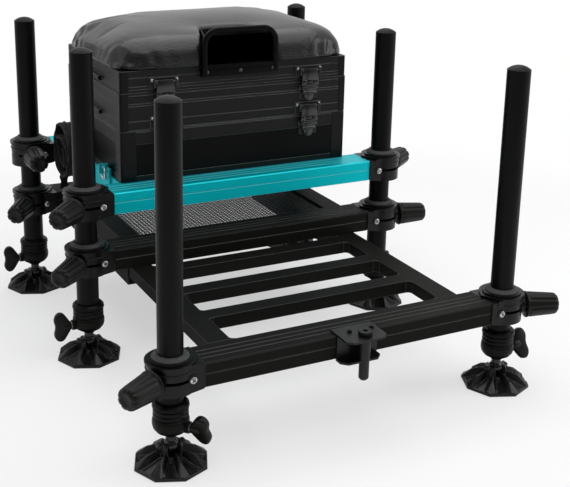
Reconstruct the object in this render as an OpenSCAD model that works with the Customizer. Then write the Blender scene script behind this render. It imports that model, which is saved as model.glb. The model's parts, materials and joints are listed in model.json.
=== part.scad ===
// Fishing seat on six adjustable legs: a padded box on a rail frame, with a lower frame and a
// footplate that draws out to the front. Millimetres, +Z up, -Y towards the footplate.
// Left and right are the viewer's, looking along +Y. The origin lies on the ground, under the
// middle of the whole seat.

/* [Legs] */
// Outer diameter of the leg tubes
leg_d = 36; // [34:1:38]
// Wall of the leg tubes
leg_wall = 2; // [1.5:0.5:3]
// Height of the leg tubes' tops over the ground
leg_top = 512; // [480:1:600]
// Height of the domed cap over a tube
cap_h = 8; // [5:1:12]
// Distance from the box's side out to the leg axes
leg_out = 68.5; // [64:0.5:90]
// Distance between the middle and rear leg axes
leg_base = 340; // [336:1:400]
// Distance from the middle to the front leg axes, footplate drawn out
foot_reach = 368; // [330:1:420]

/* [Leg collars and stems] */
// Height of a collar's lower end over the ground
collar_z = 44; // [42:1:50]
// Height of a collar
collar_h = 52; // [48:1:58]
// Largest diameter of a collar
collar_d = 52; // [50:1:58]
// Depth of the tube's seat in a collar
collar_seat = 21; // [16:1:26]
// Diameter of the stem
stem_d = 15; // [12:1:18]
// Height of the stem's upper end over the ground
stem_top = 178; // [160:1:220]
// Diameter of the ball under the stem
ball_d = 23; // [21:1:25]
// Height of the ball's centre over the ground
ball_z = 28; // [26:1:31]

/* [Feet] */
// Diameter of a foot over its corners
foot_d = 108; // [96:1:112]
// Number of ridges on a foot
foot_ridges = 8; // [6:1:9]
// Height of a foot's rim
foot_rim = 4.5; // [3:0.5:7]
// Diameter of the socket hub
hub_d = 33; // [31:1:38]

/* [Frames] */
// Height of the upper frame's underside over the ground
upper_z = 251; // [246:1:300]
// Height of the lower frame's underside over the ground
lower_z = 155; // [150:1:160]
// Height of the rail profile
rail_h = 35; // [30:1:38]
// Depth of the cross rails
rail_w = 56; // [50:1:60]
// Width of the side rails
side_w = 35; // [30:1:40]
// Wall of the rails
rail_wall = 2; // [1.5:0.5:3]
// How far the side rails reach out past the box on each side
side_out = 3.5; // [2:0.5:6]

/* [Clamp castings] */
// Reach of a casting from the leg axis along its rail
clamp_reach = 39.5; // [38:0.5:46]
// Radius of the casting's top flange
flange_r = 35.5; // [34:0.5:38]
// Thickness of the top flange
flange_h = 4; // [3:0.5:6]
// Thickness of the second step
step_h = 3; // [2:0.5:4]
// Drop of the casting below its rail
clamp_skirt = 5; // [3:1:6]
// Height of the split in the clamp ring
split_h = 4.5; // [3:0.5:6]
// Wall of the plastic bushing round the leg
bush_wall = 2.5; // [2:0.5:3.5]
// Height of the bushing's bevelled rim
bush_rim = 5.5; // [4:0.5:7]

/* [Clamp knobs] */
// Length of a knob
knob_len = 54; // [45:1:60]
// Diameter at the knob's inner end
knob_d = 41; // [36:1:44]
// Diameter at the knob's outer end
knob_tip_d = 34; // [30:1:38]
// Number of flutes
knob_flutes = 8; // [6:1:12]
// Diameter of the clamping stud
stud_d = 8; // [6:1:10]

/* [Footplate] */
// Height of the footplate's side rails and slats
slat_h = 20; // [16:1:24]
// Depth of a slat
slat_w = 29; // [24:1:34]
// Distance of the rear slat's front edge behind the front rail's axis
slat_first = 304; // [290:1:310]
// Distance from one slat to the next
slat_pitch = 99.5; // [80:0.5:104]
// Length of the side rails behind the front rail's axis
foot_side_len = 425; // [400:1:440]
// Reach of the accessory bracket in front of the front rail's axis
bracket_nose = 64; // [56:1:74]
// Width of the accessory bracket
bracket_w = 67; // [56:1:80]
// Diameter of the bracket's pin
pin_d = 15; // [12:1:17]

/* [Box] */
// Width of the box
box_w = 421; // [400:1:425]
// Depth of the box
box_d = 288; // [280:1:290]
// Distance from the middle leg axes back to the box front
box_back = 19; // [16:1:24]
// Height of the fixed base
base_h = 86; // [80:1:100]
// Height of the lift-up tray
tray_h = 64; // [60:1:80]
// Height of the lid frame
lid_h = 36; // [34:1:44]
// Wall of the box
box_wall = 3; // [2:0.5:4]
// Distance from the box's side in to a latch
latch_in = 76; // [60:1:100]
// Distance from the box's side in to a hinge
hinge_in = 70; // [60:1:100]
// Distance of the finger grips behind the box front
pull_back = 93; // [60:1:140]
// Length of a finger grip
pull_len = 70; // [50:1:90]
// Distance of the front strap rings behind the box front
ring_front = 59; // [40:1:90]
// Distance of the rear strap rings before the box's rear
ring_rear = 45; // [30:1:60]
// Radius of the upright corners
box_r = 5; // [3:1:8]

/* [Seat] */
// Height of the cushion over the lid
cushion_h = 68; // [55:1:80]
// How far the cushion bulges past the box
cushion_bulge = 4; // [2:1:8]
// Width of the lift handle
handle_w = 140; // [120:1:160]
// Width of the handle's rim
handle_rim = 7; // [5:1:10]
// Depth of the finger pocket behind the handle
pocket_d = 78; // [60:1:90]

/* [Net] */
// Gaps across the net
net_x = 20; // [10:1:20]
// Gaps from front to rear
net_y = 15; // [8:1:15]
// Width of a strand
strand = 2.2; // [1.6:0.2:3]

/* [Hidden] */
ROWS = ["front", "middle", "rear"];
SIDES = ["left", "right"];
LEGS = [for (r = ROWS) for (s = SIDES) str(r, "_", s)];
SEAT_LEGS = [2, 3, 4, 5];
FOOT_LEGS = [0, 1];
KNOBS = concat([for (i = SEAT_LEGS) str("upper_", LEGS[i])], [for (i = SEAT_LEGS) str("lower_", LEGS[i])],
               [for (i = FOOT_LEGS) str("footplate_", SIDES[i])]);
LATCHES = ["lid_left", "lid_right", "tray_left", "tray_right"];
$fn = 48;

BLACK = [0.10, 0.10, 0.10];
GREY = [0.17, 0.17, 0.17];
TEAL = [0.0, 0.58, 0.62];
STEEL = [0.75, 0.75, 0.76];

// step in from the tray to the lid
lid_inset = 1;

// clearances
run_gap = 0.08;
seat_gap = 0.05;
slide_gap = 0.3;
rail_gap = 0.5;
eps = 1;

// places of the legs
overall_y = foot_d / 2 + leg_base + foot_reach + bracket_nose;
leg_gauge = box_w + 2 * leg_out;
leg_x = leg_gauge / 2;
y_rear = overall_y / 2 - foot_d / 2;
y_mid = y_rear - leg_base;
y_front = y_mid - foot_reach;
leg_r = leg_d / 2;
function side_of(i) = i % 2 == 0 ? -1 : 1;
function leg_y(i) = [y_front, y_mid, y_rear][floor(i / 2)];

// stack of the frames
foot_z = lower_z - rail_gap - rail_h;
foot_top = foot_z + rail_h;
box_z = upper_z + rail_h;
tray_z = box_z + base_h;
lid_z = tray_z + tray_h;
cushion_z = lid_z + lid_h;

// plan of the frames
cross_len = leg_gauge - 2 * clamp_reach;
side_x = box_w / 2 + side_out;
box_front = y_mid + box_back;
box_rear = box_front + box_d;
runner_wall = 1.7;
foot_side_x = side_x - runner_wall - slide_gap;
runner_front = y_mid - rail_w / 2 + 17;
runner_rear = y_rear - rail_w / 2 + 18;
runner_h = 14;

// clamp casting
bush_r = leg_r + run_gap + bush_wall;
ring_r = flange_r - 2;
block_w = rail_w + 3;
clamp_mid = rail_h / 2 - 2;
bush_top = rail_h + flange_h + step_h;
boss_r = 13;
boss_end = flange_r + 1;
screw_x = 21;
screw_r = 2;
stud_r = stud_d / 2;
washer_t = 1.8;
knob_start = boss_end + seat_gap + washer_t + seat_gap;
spigot_len = 22;

// direction of each knob, in degrees from inboard, turning over the front
UPPER_KNOBS = [0, 0, 225, 150, 266, 266];
LOWER_KNOBS = [0, 0, 225, 190, 236, 236];
FOOT_KNOBS = [210, 200];
// direction of each wing screw, in degrees, seen from above, and the turn of its wings at rest
WINGS = [-47, 0, 180, 35, 180, 0];
WING_TURNS = [40, 0, 0, 0, 0, 0];

// collar
wing_z = collar_z + 16;
wing_r = 3;
wing_start = collar_d / 2 + 3;

// latches and hinges
latch_x = box_w / 2 - latch_in;
latch_pin_y = 5.5;
latch_pin_z = 17;
latch_pin_r = 1.8;
hinge_x = box_w / 2 - hinge_in;
hinge_leaf = 2;
hinge_r = 4.5;
hinge_y = hinge_leaf + hinge_r + slide_gap;
hinge_pin_r = 2;
hinge_w = 60;

// small helpers

module at_leg(i, z) {
    translate([side_of(i) * leg_x, leg_y(i), z])
        if (side_of(i) > 0) mirror([1, 0, 0]) children();
        else children();
}

module both_sides() {
    children();
    mirror([1, 0, 0]) children();
}

// a solid along X whose profile lies in the YZ plane, centred on x = 0
module along_x(len) {
    rotate([90, 0, 90]) translate([0, 0, -len / 2]) linear_extrude(len) children();
}

// a solid along Y whose profile lies in the XZ plane, from y = 0 forward to y = len
module along_y(len) {
    translate([0, len, 0]) rotate([90, 0, 0]) linear_extrude(len) children();
}

// rectangle with rounded corners, exact arcs
module round_rect(w, d, r) {
    square([w - 2 * r, d], center = true);
    square([w, d - 2 * r], center = true);
    for (x = [-1, 1], y = [-1, 1]) translate([x * (w / 2 - r), y * (d / 2 - r)]) circle(r);
}

// circle of radius r drawn out to a tip of radius tip_r whose end lies at reach
module pick_plate(r, tip_r, reach) {
    d = reach - tip_r;
    a = acos((r - tip_r) / d);
    circle(r);
    translate([d, 0]) circle(tip_r);
    polygon([[r * cos(a), r * sin(a)], [d + tip_r * cos(a), tip_r * sin(a)],
             [d + tip_r * cos(a), -tip_r * sin(a)], [r * cos(a), -r * sin(a)]]);
}

module tube(r, wall, len) {
    difference() {
        cylinder(r = r, h = len);
        translate([0, 0, -eps]) cylinder(r = r - wall, h = len + 2 * eps);
    }
}

// rails

// cross rail profile: y forward to back, z up; grooved on top and along the front face
module cross_profile() {
    groove_w = 1.6;
    groove_d = 0.8;
    difference() {
        translate([-rail_w / 2, 0]) square([rail_w, rail_h]);
        translate([-rail_w / 2 + rail_wall, rail_wall])
            square([rail_w - 2 * rail_wall, rail_h - 2 * rail_wall]);
        for (k = [-1, 0, 1]) translate([k * rail_w / 5 - groove_w / 2, rail_h - groove_d])
            square([groove_w, groove_d + eps]);
        for (s = [-1, 1]) translate([s * rail_w / 2, rail_h]) rotate(45) square(2, center = true);
        translate([-rail_w / 2 - eps, clamp_mid + 3]) square([groove_d + eps, groove_w]);
    }
}

module side_profile(h) {
    difference() {
        translate([-side_w, 0]) square([side_w, h]);
        translate([-side_w + rail_wall, rail_wall]) square([side_w - 2 * rail_wall, h - 2 * rail_wall]);
    }
}

module cross_rail(y, z) {
    translate([0, y, z]) along_x(cross_len - 2 * seat_gap) cross_profile();
}

module frame_rails(z) {
    cross_rail(y_mid, z);
    cross_rail(y_rear, z);
    both_sides() translate([side_x, y_mid + rail_w / 2 + seat_gap, z])
        along_y(leg_base - rail_w - 2 * seat_gap) side_profile(rail_h);
}

// teal ear on the outside of a side rail, with the hole that a strap ring hangs in
lug_t = 4;
lug_y = [box_front + ring_front, box_rear - ring_rear];
lug_x = 8;
ear_z = rail_h + 4;
ear_h = 16;
ear_top = ear_z + ear_h;
lug_hole_z = ear_z + 10;
lug_hole_r = 3.2;
ring_r_mid = 9.5;
ring_wire = 1.9;
// height of the ring's wire over the hole's axis when it hangs on the hole's lower edge
ring_rest = ring_wire + 0.35 - lug_hole_r;

module strap_lug() {
    half = 17;
    difference() {
        union() {
            translate([0, -half, 6]) cube([lug_t, 2 * half, rail_h + 8]);
            translate([0, -lug_t / 2, ear_z]) cube([lug_x + 8, lug_t, ear_h]);
        }
        translate([lug_x, lug_t, lug_hole_z]) rotate([90, 0, 0]) cylinder(r = lug_hole_r, h = 2 * lug_t);
        for (s = [-1, 1]) translate([-eps, s * 11, 14]) rotate([0, 90, 0])
            cylinder(r = screw_r + 0.2, h = lug_t + 2 * eps);
    }
}

module upper_frame_rails() {
    color(TEAL) {
        frame_rails(upper_z);
        both_sides() for (y = lug_y) translate([side_x + seat_gap, y, upper_z]) strap_lug();
    }
}

module strap_rings() {
    color(STEEL) both_sides() for (y = lug_y)
        translate([side_x + lug_x, y, upper_z + lug_hole_z + ring_rest - ring_r_mid]) rotate([0, 90, 0])
            rotate_extrude() translate([ring_r_mid, 0]) circle(ring_wire, $fn = 24);
}

module lower_frame_rails() {
    color(GREY) frame_rails(lower_z);
}

// clamp castings

module casting_block() {
    profile = [[0, -clamp_skirt], [12, -clamp_skirt], [clamp_reach - 3, -1], [clamp_reach, 1.5],
               [clamp_reach, rail_h], [0, rail_h]];
    // spigot that reaches into the rail
    in = rail_wall + 4 * seat_gap;
    translate([0, -block_w / 2, 0]) along_y(block_w) polygon(profile);
    translate([clamp_reach - eps, -rail_w / 2 + in, in])
        cube([spigot_len + eps, rail_w - 2 * in, rail_h - 2 * in]);
    // raised tab above the screw and lip at the rail end
    translate([screw_x - 6, -block_w / 2 - 0.8, rail_h - 5]) cube([14, 3, 7]);
    translate([clamp_reach - 1.2, -block_w / 2 - 0.6, 6]) cube([1.2, 3, rail_h - 12]);
}

module knob_axis(angle) {
    translate([0, 0, clamp_mid]) rotate([0, 0, angle]) rotate([0, 90, 0]) children();
}

module split(from, to) {
    if (to > from) translate([0, 0, clamp_mid - split_h / 2]) rotate([0, 0, from])
        rotate_extrude(angle = to - from) translate([leg_r, 0]) square([flange_r - leg_r + eps, split_h]);
}

module clamp_casting(angle) {
    relief_z = rail_h - 8;
    boss_span = 28;
    split_front = 296;
    split_back = 100;
    difference() {
        union() {
            translate([0, 0, -clamp_skirt]) cylinder(r = ring_r, h = rail_h + clamp_skirt);
            translate([0, 0, rail_h]) linear_extrude(flange_h) pick_plate(flange_r, 5, clamp_reach);
            translate([0, 0, rail_h + flange_h]) linear_extrude(step_h)
                pick_plate(flange_r - 5.5, 3, clamp_reach - 7);
            casting_block();
            knob_axis(angle) cylinder(r = boss_r, h = boss_end);
            // relief line round the ring and boss round the screw
            translate([0, 0, relief_z]) rotate_extrude() translate([ring_r, 0]) circle(1.3, $fn = 24);
            translate([screw_x, -block_w / 2, clamp_mid]) rotate([90, 0, 0]) cylinder(r = 8, h = 0.8);
        }
        translate([0, 0, -clamp_skirt - eps])
            cylinder(r = bush_r + seat_gap, h = clamp_skirt + bush_top + 2 * eps);
        split(angle + boss_span, split_front);
        split(split_back, angle - boss_span);
        knob_axis(angle) cylinder(r = stud_r + run_gap, h = boss_end + eps);
        translate([screw_x, -block_w / 2 + 10, clamp_mid]) rotate([90, 0, 0])
            cylinder(r = screw_r + seat_gap, h = 12);
    }
}

module clamp_screw() {
    head_r = 4.6;
    head_h = 2.4;
    recess = 1.1;
    translate([screw_x, -block_w / 2 - 0.8, clamp_mid]) rotate([90, 0, 0]) difference() {
        union() {
            rotate_extrude()
                polygon([[0, 0], [head_r, 0], [head_r, 1.2], [head_r - 1.3, head_h], [0, head_h]]);
            translate([0, 0, -9]) cylinder(r = screw_r, h = 9.5);
        }
        for (a = [45, 135]) rotate(a) translate([-head_r / 2, -recess / 2, head_h - recess])
            cube([head_r, recess, recess + eps]);
    }
}

module clamp_bushing(angle) {
    rim_r = bush_r + 5.5;
    difference() {
        rotate_extrude() polygon([[leg_r + run_gap, -clamp_skirt], [bush_r, -clamp_skirt], [bush_r, bush_top],
            [rim_r, bush_top], [rim_r, bush_top + 1.5], [bush_r + 1, bush_top + bush_rim],
            [leg_r + run_gap, bush_top + bush_rim]]);
        knob_axis(angle) cylinder(r = stud_r + 0.6, h = boss_end);
        // slit at the back
        translate([-1, 0, -clamp_skirt - eps])
            cube([2, bush_r + 10, bush_top + clamp_skirt + bush_rim + 2 * eps]);
    }
}

module upper_corner_clamps() {
    color(BLACK) for (i = SEAT_LEGS) at_leg(i, upper_z) clamp_casting(UPPER_KNOBS[i]);
}

module upper_clamp_bushings() {
    color(GREY) for (i = SEAT_LEGS) at_leg(i, upper_z) clamp_bushing(UPPER_KNOBS[i]);
}

module upper_clamp_screws() {
    color(STEEL) for (i = SEAT_LEGS) at_leg(i, upper_z) clamp_screw();
}

module lower_corner_clamps() {
    color(BLACK) for (i = SEAT_LEGS) at_leg(i, lower_z) {
        clamp_casting(LOWER_KNOBS[i]);
        clamp_screw();
    }
}

module lower_clamp_bushings() {
    color(GREY) for (i = SEAT_LEGS) at_leg(i, lower_z) clamp_bushing(LOWER_KNOBS[i]);
}

// clamp knobs, drawn along +Z from the leg axis
module knob_shape() {
    base_r = knob_d / 2;
    tip_r = knob_tip_d / 2;
    rim = 4;
    flute_r = 3;
    flute_depth = 1.6;
    bore_len = 26;
    lean = atan((base_r - tip_r) / (knob_len - rim));
    difference() {
        rotate_extrude() polygon([[stud_r + seat_gap, 0], [base_r - 1, 0], [base_r + 0.5, 1.5],
            [base_r + 0.5, rim - 1], [base_r - 0.5, rim], [tip_r, knob_len - 4], [tip_r - 1.4, knob_len - 1.6],
            [tip_r - 4, knob_len], [0, knob_len], [0, bore_len], [stud_r + seat_gap, bore_len]]);
        for (k = [0:knob_flutes - 1]) rotate(k * 360 / knob_flutes)
            translate([base_r - flute_depth + flute_r, 0, rim + 1.5]) rotate([0, -lean, 0])
                cylinder(r = flute_r, h = knob_len, $fn = 24);
    }
}

module clamp_knob(angle) {
    knob_axis(angle) {
        color(GREY) translate([0, 0, knob_start]) knob_shape();
        color(STEEL) {
            translate([0, 0, leg_r + slide_gap]) cylinder(r = stud_r, h = knob_start - leg_r - slide_gap + 25);
            translate([0, 0, boss_end + seat_gap]) difference() {
                cylinder(r = stud_d + 2, h = washer_t);
                translate([0, 0, -eps]) cylinder(r = stud_r + 0.3, h = washer_t + 2 * eps);
            }
        }
    }
}

// legs

module leg(i) {
    tube_z = collar_z + collar_h - collar_seat;
    at_leg(i, 0) {
        color(GREY) translate([0, 0, tube_z + seat_gap])
            tube(leg_r, leg_wall, leg_top - tube_z - 2 * seat_gap);
        color(BLACK) leg_cap();
    }
    translate([side_of(i) * leg_x, leg_y(i), 0]) color(BLACK) leg_collar(WINGS[i]);
}

module leg_cap() {
    lip = 1.5;
    plug = 14;
    dome_r = leg_r - 0.3;
    rise = cap_h - lip;
    ball = (dome_r * dome_r + rise * rise) / (2 * rise);
    translate([0, 0, leg_top]) {
        translate([0, 0, -plug]) cylinder(r = leg_r - leg_wall - seat_gap, h = plug + lip);
        cylinder(r = leg_r, h = lip);
        translate([0, 0, lip]) intersection() {
            cylinder(r = dome_r, h = rise + eps);
            translate([0, 0, rise - ball]) sphere(ball, $fn = 96);
        }
    }
}

// collar round the tube's foot: cup, two ribs and a top ring
module leg_collar(angle) {
    r = collar_d / 2;
    seat = collar_h - collar_seat;
    stem_bore = stem_d / 2 + run_gap;
    // heights of the cup's curve and of the ribs go with the cup and the tube's seat
    c = seat / 31;
    u = collar_seat / 21;
    translate([0, 0, collar_z]) difference() {
        union() {
            rotate_extrude() polygon([[stem_bore, 0], [stem_bore + 2, 0], [r - 13, 3 * c], [r - 5, 8 * c],
                [r - 1.2, 13 * c], [r, 18 * c], [r, 24 * c], [r - 1, 28 * c], [r - 3, 29.5 * c],
                [r - 1.2, seat + 0.5 * u], [r - 1.2, seat + 3.5 * u], [r - 3, seat + 5.5 * u],
                [r - 1.2, seat + 7 * u], [r - 1.2, seat + 10.5 * u], [r - 3, seat + 12.5 * u],
                [r, seat + 14 * u], [r - 0.6, seat + 18 * u], [r - 3.8, collar_h],
                [leg_r + seat_gap, collar_h], [leg_r + seat_gap, seat], [stem_bore, seat]]);
            translate([0, 0, wing_z - collar_z]) rotate([0, 90, angle]) translate([0, 0, leg_r])
                cylinder(r = 8.5, h = wing_start - leg_r - 0.5);
        }
        translate([0, 0, wing_z - collar_z]) rotate([0, 90, angle])
            cylinder(r = wing_r + run_gap, h = wing_start + eps);
        translate([0, 0, seat]) cylinder(r = leg_r + seat_gap, h = collar_seat + eps);
        translate([0, 0, -eps]) cylinder(r = stem_bore, h = seat + 2 * eps);
    }
}

module wing_screw(i) {
    hub_r = 8;
    lobe_r = 7.5;
    lobe_x = 16;
    lobe_y = 17;
    thick = 11;
    tip_gap = slide_gap;
    translate([side_of(i) * leg_x, leg_y(i), wing_z]) rotate([0, 0, WINGS[i]]) {
        color(GREY) translate([wing_start + 2, 0, 0]) rotate([WING_TURNS[i], 0, 0]) difference() {
            rotate([90, 0, 0]) translate([0, 0, -thick / 2]) linear_extrude(thick) difference() {
                union() {
                    translate([hub_r - 2, 0]) circle(hub_r - 1);
                    for (s = [-1, 1]) {
                        translate([lobe_x + 3, s * lobe_y]) circle(lobe_r);
                        polygon([[1, s * 2], [4, s * 6.4], [lobe_x - 1.5, s * (lobe_y + 5.9)],
                                 [lobe_x + 9, s * (lobe_y - 4.3)], [lobe_x, 0], [2, 0]]);
                    }
                }
                translate([lobe_x + 14, 0]) circle(10);
            }
            translate([-eps, 0, 0]) rotate([0, 90, 0]) cylinder(r = wing_r + seat_gap, h = 12 + eps);
        }
        color(STEEL) rotate([0, 90, 0]) {
            translate([0, 0, stem_d / 2 + tip_gap])
                cylinder(r = wing_r, h = wing_start + 13 - stem_d / 2 - tip_gap);
            translate([0, 0, wing_start - 0.5 + seat_gap]) difference() {
                cylinder(r = 6, h = 1.6);
                translate([0, 0, -eps]) cylinder(r = wing_r + 0.2, h = 4);
            }
        }
    }
}

module stem(i) {
    guide_h = 8;
    color(STEEL) translate([side_of(i) * leg_x, leg_y(i), 0]) {
        translate([0, 0, ball_z]) {
            sphere(ball_d / 2, $fn = 64);
            cylinder(r = stem_d / 2, h = stem_top - ball_z);
        }
        translate([0, 0, stem_top - guide_h]) cylinder(r = leg_r - leg_wall - slide_gap, h = guide_h);
    }
}

// one side of a ring of corners: alternate ridge and valley points
function foot_ring(r_ridge, r_valley, z_ridge, z_valley) = [
    for (k = [0:2 * foot_ridges - 1])
        let (even = k % 2 == 0, a = k * 180 / foot_ridges, r = even ? r_ridge : r_valley)
            [r * cos(a), r * sin(a), even ? z_ridge : z_valley]];

// ridged sole: five rings of corners from the rim to the hub, closed by a point at each end
module foot_sole() {
    r = foot_d / 2;
    flat = cos(180 / foot_ridges);
    rings = [foot_ring(r, r * flat, 0, 0), foot_ring(r - 0.5, r * flat - 0.5, foot_rim, foot_rim),
             foot_ring(r - 15, r * flat - 13, 14, foot_rim + 2.5),
             foot_ring(r - 29, r * flat - 25, 23, foot_rim + 6),
             foot_ring(hub_d / 2 - 2, hub_d / 2 - 2, 25, foot_rim + 9)];
    n = 2 * foot_ridges;
    points = concat([for (g = rings) each g], [[0, 0, 0], [0, 0, foot_rim + 9]]);
    last = len(rings) - 1;
    side = [for (g = [0:last - 1]) for (k = [0:n - 1])
        let (a = g * n + k, b = g * n + (k + 1) % n, even = k % 2 == 0)
            each (even ? [[a, a + n, b], [b, a + n, b + n]] : [[a, b + n, b], [a, a + n, b + n]])];
    floor_faces = [for (k = [0:n - 1]) [k, (k + 1) % n, len(rings) * n]];
    top_faces = [for (k = [0:n - 1]) [last * n + k, len(rings) * n + 1, last * n + (k + 1) % n]];
    polyhedron(points, concat(side, floor_faces, top_faces), convexity = 6);
}

module foot(i) {
    ball_r = ball_d / 2 + slide_gap;
    hub_z = 10;
    jaw_top = ball_z + 5;
    slot_w = 12;
    ear_z = ball_z + 1;
    color(BLACK) translate([side_of(i) * leg_x, leg_y(i), 0]) difference() {
        union() {
            foot_sole();
            translate([0, 0, hub_z]) cylinder(r = hub_d / 2, h = jaw_top - hub_z);
            translate([hub_d / 2 - 3, 4, ear_z]) rotate([90, 0, 0]) cylinder(r = 6, h = 8);
            translate([-hub_d / 2 + 3, 4, ear_z]) rotate([90, 0, 0]) cylinder(r = 6, h = 8);
        }
        translate([0, 0, ball_z]) sphere(ball_r, $fn = 64);
        translate([-slot_w / 2, -hub_d / 2 - 1, ball_z - 4]) cube([slot_w, hub_d + 2, 20]);
    }
}

// lower frame fittings

module mesh_panel() {
    x = 2 * (side_x - side_w) - 2 * slide_gap;
    y = leg_base - rail_w - 2 * slide_gap;
    net_z = lower_z + rail_h - 6;
    rim = 10;
    px = (x - 2 * rim + strand) / net_x;
    py = (y - 2 * rim + strand) / net_y;
    color(STEEL) translate([0, y_mid + leg_base / 2, net_z]) linear_extrude(1.6) difference() {
        square([x, y], center = true);
        for (i = [0:net_x - 1], j = [0:net_y - 1])
            translate([-x / 2 + rim + i * px, -y / 2 + rim + j * py]) square([px - strand, py - strand]);
    }
}

// angle under each lower side rail: outer web and a boxed foot that the footplate slides on
module footplate_runners() {
    foot_w = side_w;
    top = foot_top - slat_h - slide_gap;
    low = top - runner_h;
    wall = runner_wall;
    len = runner_rear - runner_front;
    color(GREY) both_sides() translate([side_x, runner_front, 0]) along_y(len) {
        translate([-wall, low]) square([wall, lower_z - low]);
        difference() {
            translate([-foot_w, low]) square([foot_w, runner_h]);
            translate([-foot_w + wall, low + wall]) square([foot_w - 2 * wall, runner_h - 2 * wall]);
        }
    }
    // end plug at the front
    color(BLACK) both_sides() translate([side_x - foot_w, runner_front - 3, low]) cube([foot_w, 3, runner_h]);
}

// footplate

module footplate_frame() {
    z = foot_top - slat_h;
    inner = 2 * (foot_side_x - side_w);
    color(GREY) {
        cross_rail(y_front, foot_z);
        both_sides() translate([foot_side_x, y_front + rail_w / 2, z]) along_y(foot_side_len - rail_w / 2)
            side_profile(slat_h);
        for (k = [0:2]) translate([0, y_front + slat_first - k * slat_pitch, z]) along_x(inner) difference() {
            square([slat_w, slat_h]);
            translate([rail_wall, rail_wall]) square([slat_w - 2 * rail_wall, slat_h - 2 * rail_wall]);
        }
    }
}

module footplate_clamps() {
    color(BLACK) for (i = FOOT_LEGS) at_leg(i, foot_z) {
        clamp_casting(FOOT_KNOBS[i]);
        clamp_screw();
    }
}

module footplate_bushings() {
    color(GREY) for (i = FOOT_LEGS) at_leg(i, foot_z) clamp_bushing(FOOT_KNOBS[i]);
}

// bracket for accessories: two plates and a web, with a sleeve for the pin
plate_t = 3;
bolt_x = 0;
bolt_y = y_front - bracket_nose + 18;
bracket_x = -3.5;

module bracket_plate(reach) {
    corner = 9;
    w = bracket_w / 2;
    polygon([[-w, 0], [-w, -reach + corner], [-w + corner, -reach], [w - corner, -reach],
             [w, -reach + corner], [w, 0]]);
}

module accessory_bracket() {
    sleeve_r = pin_d / 2 + 1.3;
    top_back = 18;
    low_reach = bracket_nose - 14 - rail_w / 2;
    screw_dx = [-12, 25];
    color(BLACK) {
        difference() {
            union() {
                translate([bracket_x, y_front + top_back - rail_w / 2, foot_top]) linear_extrude(plate_t)
                    bracket_plate(bracket_nose + top_back - rail_w / 2);
                translate([bracket_x - bracket_w / 2, y_front - rail_w / 2 - plate_t, foot_z - plate_t])
                    cube([bracket_w, plate_t, rail_h + plate_t + plate_t]);
                translate([bracket_x, y_front - rail_w / 2, foot_z - plate_t]) linear_extrude(plate_t)
                    bracket_plate(low_reach);
            }
            translate([bolt_x, bolt_y, foot_z - 10]) cylinder(r = pin_d / 2 + run_gap, h = rail_h + 20);
        }
        translate([bolt_x, bolt_y, foot_z]) difference() {
            cylinder(r = sleeve_r, h = rail_h);
            translate([0, 0, -eps]) cylinder(r = pin_d / 2 + run_gap, h = rail_h + 2 * eps);
        }
        for (dx = screw_dx) translate([bracket_x + dx, y_front - rail_w / 2, foot_top + plate_t]) difference() {
            cylinder(r = 3.6, h = 3.4);
            translate([0, 0, 1.6]) cylinder(r = 1.8, h = 3, $fn = 6);
        }
    }
}

// knurled head, shank and rounded end
module bracket_bolt() {
    head_r = 10.3;
    head_h = 6.5;
    head_z = foot_top + plate_t + seat_gap;
    end_z = foot_z - 31.5;
    r = pin_d / 2;
    color(BLACK) translate([bolt_x, bolt_y, 0]) difference() {
        union() {
            translate([0, 0, head_z]) cylinder(r = head_r, h = head_h);
            translate([0, 0, end_z + 3]) cylinder(r = r, h = head_z - end_z - 3 + eps);
            translate([0, 0, end_z]) cylinder(r1 = r - 2.5, r2 = r, h = 3);
        }
        for (k = [0:17]) rotate(k * 20) translate([head_r + 0.4, 0, head_z - eps])
            cylinder(r = 1.1, h = head_h + 2 * eps, $fn = 16);
        translate([0, 0, head_z + head_h - 3]) cylinder(r = 4, h = 4, $fn = 6);
    }
}

// box

// ring-shaped groove round the box
module box_groove(z, h, depth) {
    translate([0, 0, z]) difference() {
        linear_extrude(h) square([box_w + 2 * eps, box_d + 2 * eps], center = true);
        translate([0, 0, -eps]) linear_extrude(h + 2 * eps)
            round_rect(box_w - 2 * depth, box_d - 2 * depth, box_r);
    }
}

module box_shell(h, floor_t) {
    difference() {
        linear_extrude(h) round_rect(box_w, box_d, box_r);
        translate([0, 0, floor_t]) linear_extrude(h + eps)
            round_rect(box_w - 2 * box_wall, box_d - 2 * box_wall, max(box_r - box_wall, 1));
    }
}

post_w = 24;
panel_low = 10;
panel_high = 23;
panel_depth = 1.2;

// a plate in the recess of each wall; grow widens it for the cut
module wall_plates(grow) {
    h = base_h - panel_low - panel_high + 2 * grow;
    t = panel_depth + grow;
    for (s = [-1, 1]) {
        x = s > 0 ? box_w / 2 - panel_depth : -box_w / 2 - grow;
        y = s > 0 ? box_d / 2 - panel_depth : -box_d / 2 - grow;
        translate([-box_w / 2 + post_w - grow, y, panel_low - grow])
            cube([box_w - 2 * post_w + 2 * grow, t, h]);
        translate([x, -box_d / 2 + post_w - grow, panel_low - grow])
            cube([t, box_d - 2 * post_w + 2 * grow, h]);
    }
}

module at_box(z) {
    translate([0, (box_front + box_rear) / 2, z]) children();
}

module base_box() {
    color(GREY) {
        at_box(box_z) difference() {
            box_shell(base_h, box_wall);
            wall_plates(0.2);
            box_groove(base_h - 2.5, 1, 0.8);
        }
        hinge_half(tray_z, -1);
    }
    color(STEEL) at_latches(tray_z) latch_keeper();
}

module base_panels() {
    color(BLACK) at_box(box_z) intersection() {
        wall_plates(0);
        linear_extrude(base_h) round_rect(box_w - 0.6, box_d - 0.6, box_r);
    }
}

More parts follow.
